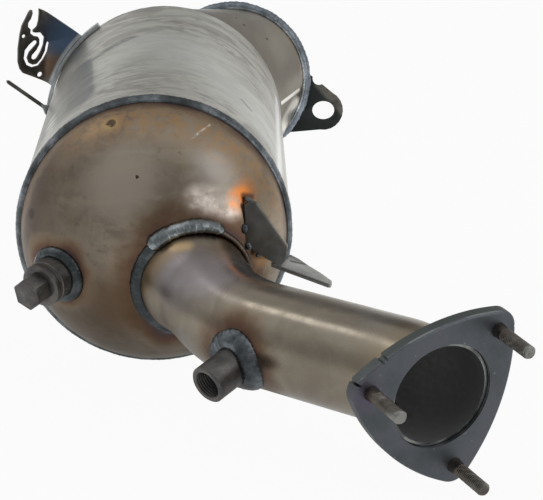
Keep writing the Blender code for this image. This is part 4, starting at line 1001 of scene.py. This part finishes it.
def add_stud(number, place):
    """Stud with a head behind the flange and a fine helical thread, a little slimmer towards its tip."""
    root, tip, pitch, depth = 3.9, 3.5, 1.25 * MM, 0.4 * MM
    head = -FLANGE_THICKNESS - FIT_GAP
    heights = [head + i * 0.2 * MM for i in range(1, int((26 - head / MM) / 0.2))]
    profile = [(0, head - 3 * MM), (6.2 * MM, head - 3 * MM), (6.2 * MM, head), (root * MM, head)]
    profile += [(max(tip, min(root, root - height / MM / 15)) * MM, height) for height in heights]
    profile += [(tip * MM, 25.8 * MM), (2.8 * MM, 26.6 * MM), (0, 26.6 * MM)]
    bm = revolve(profile, Matrix.Identity(4), 40)
    for vert in bm.verts:
        flat = Vector((vert.co.x, vert.co.y))
        if flat.length > 3.2 * MM and 6 * MM < vert.co.z < 25.9 * MM:
            turn = flat.angle_signed(Vector((1, 0))) / tau
            wave = abs(((vert.co.z / pitch - turn) % 1) * 2 - 1)
            scale = 1 - depth * wave / flat.length
            vert.co.x *= scale
            vert.co.y *= scale
    bm.transform(place)
    finished(f"threaded_stud_{number}", bm, stud_steel, "stud_steel", f"flange_stud_{number}",
             smooth=radians(50))


def add_bosses():
    """The two threaded sensor bosses, and the washer and plug that close the dome's."""
    edge, foot, pitch, depth = 0.8 * MM, -14 * MM, 0.75 * MM, 0.5 * MM
    pipe_form = rod(PIPE_RADIUS + FIT_GAP, -40 * MM, 40 * MM, PIPE_SPOT, 96)
    for name, node, place, radius, bore, height, trim in (
            ("open_sensor_boss", "pipe_sensor_boss", PIPE_BOSS_FRAME, 10.2 * MM, 7.0 * MM, PIPE_BOSS_HEIGHT,
             pipe_form),
            ("plugged_sensor_boss", "dome_sensor_boss", DOME_BOSS_FRAME, 12 * MM, 7.3 * MM, DOME_BOSS_HEIGHT,
             dome_form(FIT_GAP))):
        profile = [(radius, foot), (radius, height - edge), (radius - edge, height), (bore + edge, height)]
        threads = int((height + 13 * MM) / pitch)
        profile += [(bore + (depth if i % 2 else 0), height - edge - i * pitch) for i in range(threads)]
        profile.append((bore, foot))
        carve(finished(name, revolve(profile, place, 96), boss_steel, "stud_steel", node), trim)
    low = DOME_BOSS_HEIGHT + FIT_GAP
    high = low + 2 * MM
    ring = [(12 * MM, low), (12 * MM, high), (7.3 * MM, high), (7.3 * MM, low)]
    finished("plug_washer", revolve(ring, DOME_BOSS_FRAME, 96), boss_steel, "stud_steel", "dome_plug_washer")
    add_plug(high + FIT_GAP)


def add_plug(foot):
    """Hex plug: collar and a six-sided head with rounded corners."""
    across_flats = 15.6 * MM
    shoulder = foot + 3.5 * MM
    body = [(0, foot - 9 * MM), (7 * MM, foot - 9 * MM), (7 * MM, foot), (12 * MM, foot),
            (12 * MM, shoulder - 1.5 * MM), (11 * MM, shoulder - 0.3 * MM), (9.6 * MM, shoulder),
            (0, shoulder)]
    finished("plug_collar", revolve(body, DOME_BOSS_FRAME, 96), boss_steel, "stud_steel", "dome_boss_plug")
    head = rod(across_flats / 2 / cos(pi / 6), shoulder - 0.4 * MM, shoulder + 11 * MM, Matrix.Identity(4), 6)
    round_edges(head, head.edges[:], 0.7 * MM)
    head.transform(DOME_BOSS_FRAME @ Matrix.Rotation(radians(8), 4, 'Z'))
    finished("plug_hex", outward(head), boss_steel, "stud_steel", "dome_boss_plug")


def add_brackets():
    """The dome bracket's leaf and tab, the eye bracket with its bite, the clip and the side tab."""
    front = -36.5
    leaf = ((50, 24.5), (53.5, 27), (57, 25.5), (74, 1), (72.6, -7.5), (69.5, -10.6), (52, 0.2), (49, 4),
            (50.5, 16))
    bm = slab([from_can(x, front, z) for x, z in leaf], (0, 3 * MM, 0))
    round_edges(bm, bm.edges[:], 0.5 * MM)
    finished("bracket_leaf", bm, bracket_steel, "bracket_steel", "dome_bracket")
    slope = radians(21)
    along_tab = Vector((cos(slope), 0, -sin(slope)))
    down = Vector((-sin(slope), 0, -cos(slope)))
    root = from_can(60, front, -6.4)
    tab = ((6, 0), (39.5, 0), (41.2, 1.5), (41.4, 8), (35, 15.6), (28.6, 20.5), (22.5, 27), (17.2, 29.5),
           (15, 20), (11, 8), (6, 6))
    bm = slab([root + along_tab * u * MM + Vector((0, v * MM, 0)) for u, v in tab], down * 2.4 * MM)
    round_edges(bm, bm.edges[:], 0.5 * MM)
    finished("bracket_tab", bm, tab_steel, "bracket_steel", "dome_bracket")
    eye = softened("eye_bracket", "inlet_eye_bracket", bracket_steel)
    carve(eye, rod(4.4 * MM, -5 * MM, 5 * MM, axis_frame(from_can(103.6, 302.7, 17.2), INLET_AXIS)))
    softened("clip_with_tongue", "clip_bracket", clip_steel, 0.25 * MM)
    softened("thin_side_tab", "side_tab", clip_steel)


def add_inlet():
    """The leaning cone, the funnel cap behind the ring weld and the clamp flange on its neck."""
    sides, steps = 160, 14
    foot = circle_path(DOME_RADIUS, CAN_LENGTH, CAN_FRAME, sides)
    mouth = circle_path(INLET_RADIUS, 0, INLET_FRAME, sides)
    rows = [[a.lerp(b, i / steps) for a, b in zip(foot, mouth)] for i in range(steps + 1)]
    rows.append(circle_path(INLET_RADIUS, 5 * MM, INLET_FRAME, sides))
    bm = bmesh.new()
    start = CAN_FRAME @ Matrix.Translation((0, 0, CAN_LENGTH - SKIRT_DEPTH))
    ring = bmesh.ops.create_circle(bm, segments=sides, radius=DOME_RADIUS, matrix=start)["verts"]
    numbers = {vert: min(range(sides), key=lambda i: (foot[i] - vert.co).length_squared) for vert in ring}
    edges = bm.edges[:]
    for row in rows:
        made = bmesh.ops.extrude_edge_only(bm, edges=edges)["geom"]
        edges = open_edges_of(made)
        numbers = {vert: numbers[edge.other_vert(vert)] for vert in verts_of(made) for edge in vert.link_edges
                   if edge.other_vert(vert) in numbers}
        for vert, number in numbers.items():
            vert.co = row[number]
    cone = finished("leaning_cone", outward(bm), cone_steel, "shell_steel", "inlet_cone")
    thicken(cone)
    note_gaps(cone, (rear_path, 2.5 * MM), (ring_path, 9 * MM))
    cap_radius = INLET_RADIUS - SHEET - FIT_GAP
    neck_radius, shoulder, rise, end = 30 * MM, 13 * MM, 21 * MM, 48 * MM
    turns = [pi / 2 * i / 16 for i in range(1, 17)]
    outer = [(cap_radius, 0), (cap_radius, shoulder)]
    outer += [(neck_radius + (cap_radius - neck_radius) * cos(t), shoulder + rise * sin(t)) for t in turns]
    outer.append((neck_radius, end))
    inner = [(radius - SHEET, height) for radius, height in reversed(outer)]
    cap = finished("funnel_cap", revolve(outer + inner, INLET_FRAME), cone_steel, "shell_steel", "inlet_cap")
    note_gaps(cap, (ring_path, 12 * MM))
    bore = neck_radius + FIT_GAP
    lip = [(bore, 41 * MM), (bore + SHEET, 41 * MM), (37.6 * MM, 44.9 * MM), (38 * MM, 45.4 * MM),
           (38 * MM, 47.6 * MM), (37.6 * MM, end), (bore, end)]
    finished("clamp_flange", revolve(lip, INLET_FRAME), boss_steel, "stud_steel", "inlet_clamp_flange")


def weld_bead(name, node, path, place, half_width, half_height, pitch, tilt, material, seed=0.0):
    """Rippled bead along a path, standing away from a frame's Z axis and leaning by its tilt. Sizes are
    in mm, and a path whose ends meet makes a ring."""
    closed = (path[-1] - path[0]).length < 2 * (path[1] - path[0]).length
    lean = Matrix.Rotation(radians(tilt), 4, 'Z')
    inverse = place.inverted()
    turned = place.to_3x3()
    frames = []
    count = len(path)
    for i, point in enumerate(path):
        after = path[(i + 1) % count] if closed else path[min(i + 1, count - 1)]
        before = path[i - 1] if closed else path[max(i - 1, 0)]
        local = inverse @ point
        away = turned @ Vector((local.x, local.y, 0))
        frames.append(axis_frame(point, after - before, away) @ lean)
    distances = distances_of(frames)
    sizes = []
    for point, distance in zip(path, distances):
        ripple = (distance / (pitch * MM) + noise.noise(point * 120) * 0.5) % 1
        swell = 1 + 0.09 * (1 - ripple) ** 2 - 0.04 + 0.10 * noise.noise(point * 160 + Vector((seed, 0, 0)))
        if not closed:
            end = min(distance, distances[-1] - distance) / (half_width * MM * 1.1)
            swell *= sqrt(max(0.02, 1 - max(0, 1 - end) ** 2))
        sizes.append((half_width * MM * swell, half_height * MM * swell))
    bm = sweep(frames, sizes, 16, closed)
    bm = outward(bm) if closed else close_ends(bm)
    finished(name, bm, material, "weld_steel", *([node] if node else []), smooth=radians(60))


def add_welds():
    """All the beads. A row has the bead's name, its CAD node, its path and the frame it runs round, half its
    width and height, its ripples' pitch, its tilt, its finish and the seed of its wobble."""
    root = PIPE_FRAMES[8]
    bracket_runs = [short_run((50.6, -35.6, 14), (50, -36, 8), 12),
                    short_run((51.5, -36, 3.5), (53.5, -36, -1), 12),
                    short_run((56.5, -35.4, -3.6), (58.5, -35, -5.2), 12)]
    top_edge = short_run((50.5, -33, 28), (55.5, -35.5, 24.5), 14)
    for row in (
        ("rim_weld_bead", "dome_rim_weld", rim_path, CAN_FRAME, 3.6, 1.7, 3.0, 22, weld_steel),
        ("rear_weld_bead", "can_rear_weld", rear_path, CAN_FRAME, 1.0, 1.0, 2.0, 0, burnt_weld),
        ("inlet_ring_bead", "inlet_ring_weld", ring_path, INLET_FRAME, 3.6, 4.0, 3.4, 0, ring_weld),
        ("inlet_ring_lip_bead", "inlet_ring_weld", lip_path, INLET_FRAME, 1.9, 1.5, 3.4, 0, light_weld_and_glints, 3.0),
        ("flange_weld_bead", "outlet_flange_weld", flange_path, FLANGE_FRAME, 2.4, 2.3, 2.4, 0, weld_steel),
        ("pipe_boss_bead", "pipe_boss_weld", pipe_boss_path, PIPE_BOSS_FRAME, 5.7, 2.9, 2.4, -45, weld_steel),
        ("dome_boss_bead", "dome_boss_weld", dome_boss_path, DOME_BOSS_FRAME, 3.4, 2.1, 2.4, -45, dark_weld),
        ("pipe_root_bead", "outlet_pipe_weld", root_path, root, 2.1, 1.7, 2.4, 0, burnt_weld),
        ("pipe_left_bead", "outlet_pipe_weld", left_run, root, 3.8, 2.4, 5.0, -42, dark_weld),
        ("pipe_top_bead", "outlet_pipe_weld", top_run, root, 4.8, 3.4, 4.0, -20, light_weld_and_glints),
        ("bracket_bead_1", None, bracket_runs[0], CAN_FRAME, 2.2, 2.2, 3.0, 0, weld_steel),
        ("bracket_bead_2", None, bracket_runs[1], CAN_FRAME, 2.0, 2.0, 3.0, 0, weld_steel, 7.0),
        ("bracket_bead_3", None, bracket_runs[2], CAN_FRAME, 1.5, 1.5, 3.0, 0, weld_steel, 14.0),
        ("bracket_top_bead", None, top_edge, CAN_FRAME, 1.3, 1.3, 2.5, 0, light_weld_and_glints),
    ):
        weld_bead(*row)


def finish_core():
    """Give the CAD model's brick, mat and seal rings their finishes."""
    for name, material in (("filter_brick", ceramic), ("support_mat", fibre), ("front_seal_ring", boss_steel),
                           ("rear_seal_ring", boss_steel)):
        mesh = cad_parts[name].data
        mesh.materials.clear()
        mesh.materials.append(material)


# The studio
def make_floor_finish():
    """Floor that the camera sees white; in reflections it dims in front of the part, and near the part as
    painted shade.
    """
    paint = Finish("pale_floor", 0.9, 0.0)
    paint.colour((0.55, 0.55, 0.54, 1))
    glow = paint.add("Emission", {"Color": (1, 1, 1, 1), "Strength": 1.0})
    rays = paint.add("LightPath").outputs
    reach = paint.add("VectorMath", {0: paint.space}, operation='LENGTH').outputs["Value"]
    # In reflections only: painted shade near the part, and dimmer in front of it.
    bright = paint.maths('MULTIPLY', paint.spread(paint.dot((0, 1, 0)), -0.5, 0.35, 0.40, 1.0),
                         paint.spread(reach, 0.05, 0.3, 0.5, 1.0))
    mirrored = paint.maths('MULTIPLY', rays["Is Glossy Ray"], bright)
    shown = paint.maths('MULTIPLY', rays["Is Camera Ray"], 0.95)
    mixed = paint.add("MixShader", {0: paint.maths('ADD', mirrored, shown), 1: paint.shader.outputs[0],
                                    2: glow.outputs[0]})
    paint.feed(paint.tree.nodes["Material Output"].inputs["Surface"], mixed.outputs[0])
    return paint.material


def add_floor():
    """Wide floor a little under the part."""
    bm = bmesh.new()
    bmesh.ops.create_grid(bm, x_segments=1, y_segments=1, size=30)
    floor = placed("floor", mesh_of("floor", bm))
    floor.location.z = -0.5 * MM
    floor.data.materials.append(make_floor_finish())


def add_sky():
    """Grey bands from the floor up, with a dark patch high behind the part; the camera sees plain white."""
    world = bpy.data.worlds.new("studio")
    bpy.context.scene.world = world
    world.use_nodes = True
    sky = Pattern(world.node_tree, "Generated")
    height = sky.maths('ADD', sky.dot((0, 0.225, 0.275)), 0.5)
    shades = ((0.27, 0.34), (0.58, 0.42), (0.68, 0.66), (0.74, 0.66), (0.82, 0.50))
    tone = sky.ramp(height, *((position, (shade, shade, shade * 0.99)) for position, shade in shades))
    patch = sky.spread(sky.dot((0, 0.86, 0.51)), 0.955, 0.99, kind='LINEAR')
    tone = sky.over(tone, (0.2, 0.2, 0.2), patch)
    tone = sky.over(tone, (1, 1, 1), sky.add("LightPath").outputs["Is Camera Ray"])
    background = world.node_tree.nodes["Background"]
    sky.feed(background.inputs["Color"], tone)
    background.inputs["Strength"].default_value = 1.0


def add_lamps():
    """Round area lamps. A row has a lamp's name, its place, the point it looks at, its size and watts."""
    for name, spot, target, size, watts in (
            ("key", (-0.93, 0.41, 1.28), (0.03, -0.18, 0.07), 0.30, 0.42),
            ("fill", (1.1, -0.75, 0.95), (0, -0.05, 0.05), 1.0, 2.1),
            ("side_strip", (1.2, -0.95, 0.26), (0, -0.05, 0.08), 0.35, 0.9)):
        data = bpy.data.lights.new(name, 'AREA')
        data.shape = 'DISK'
        data.size = size
        data.energy = watts
        lamp = placed(name, data)
        lamp.matrix_world = axis_frame(Vector(spot), Vector(spot) - Vector(target))


def add_camera():
    """Camera of the photograph, as fitted to the round rims, the pipe and the flange."""
    focal_pixels, photo_pixels, sensor = 2285, 543, 36
    data = bpy.data.cameras.new("photo_camera")
    data.sensor_width = sensor
    data.lens = focal_pixels / photo_pixels * sensor
    data.clip_end = 100
    camera = placed("photo_camera", data)
    right = Vector((0.99982, -0.01815, 0.00561)).normalized()
    ahead = Vector((0.0190, 0.9553, -0.2951)).normalized()
    right = (right - ahead * right.dot(ahead)).normalized()
    turned = Matrix((right, right.cross(ahead), -ahead)).transposed().to_4x4()
    camera.matrix_world = Matrix.Translation(ORIGIN + Vector((0.0413, -1.2269, 0.3667))) @ turned
    bpy.context.scene.camera = camera


add_can()
add_dome()
add_pipe()
add_flange()
add_bosses()
add_brackets()
add_inlet()
add_welds()
finish_core()
bpy.context.scene.view_settings.view_transform = 'Standard'
add_floor()
add_sky()
add_lamps()
add_camera()
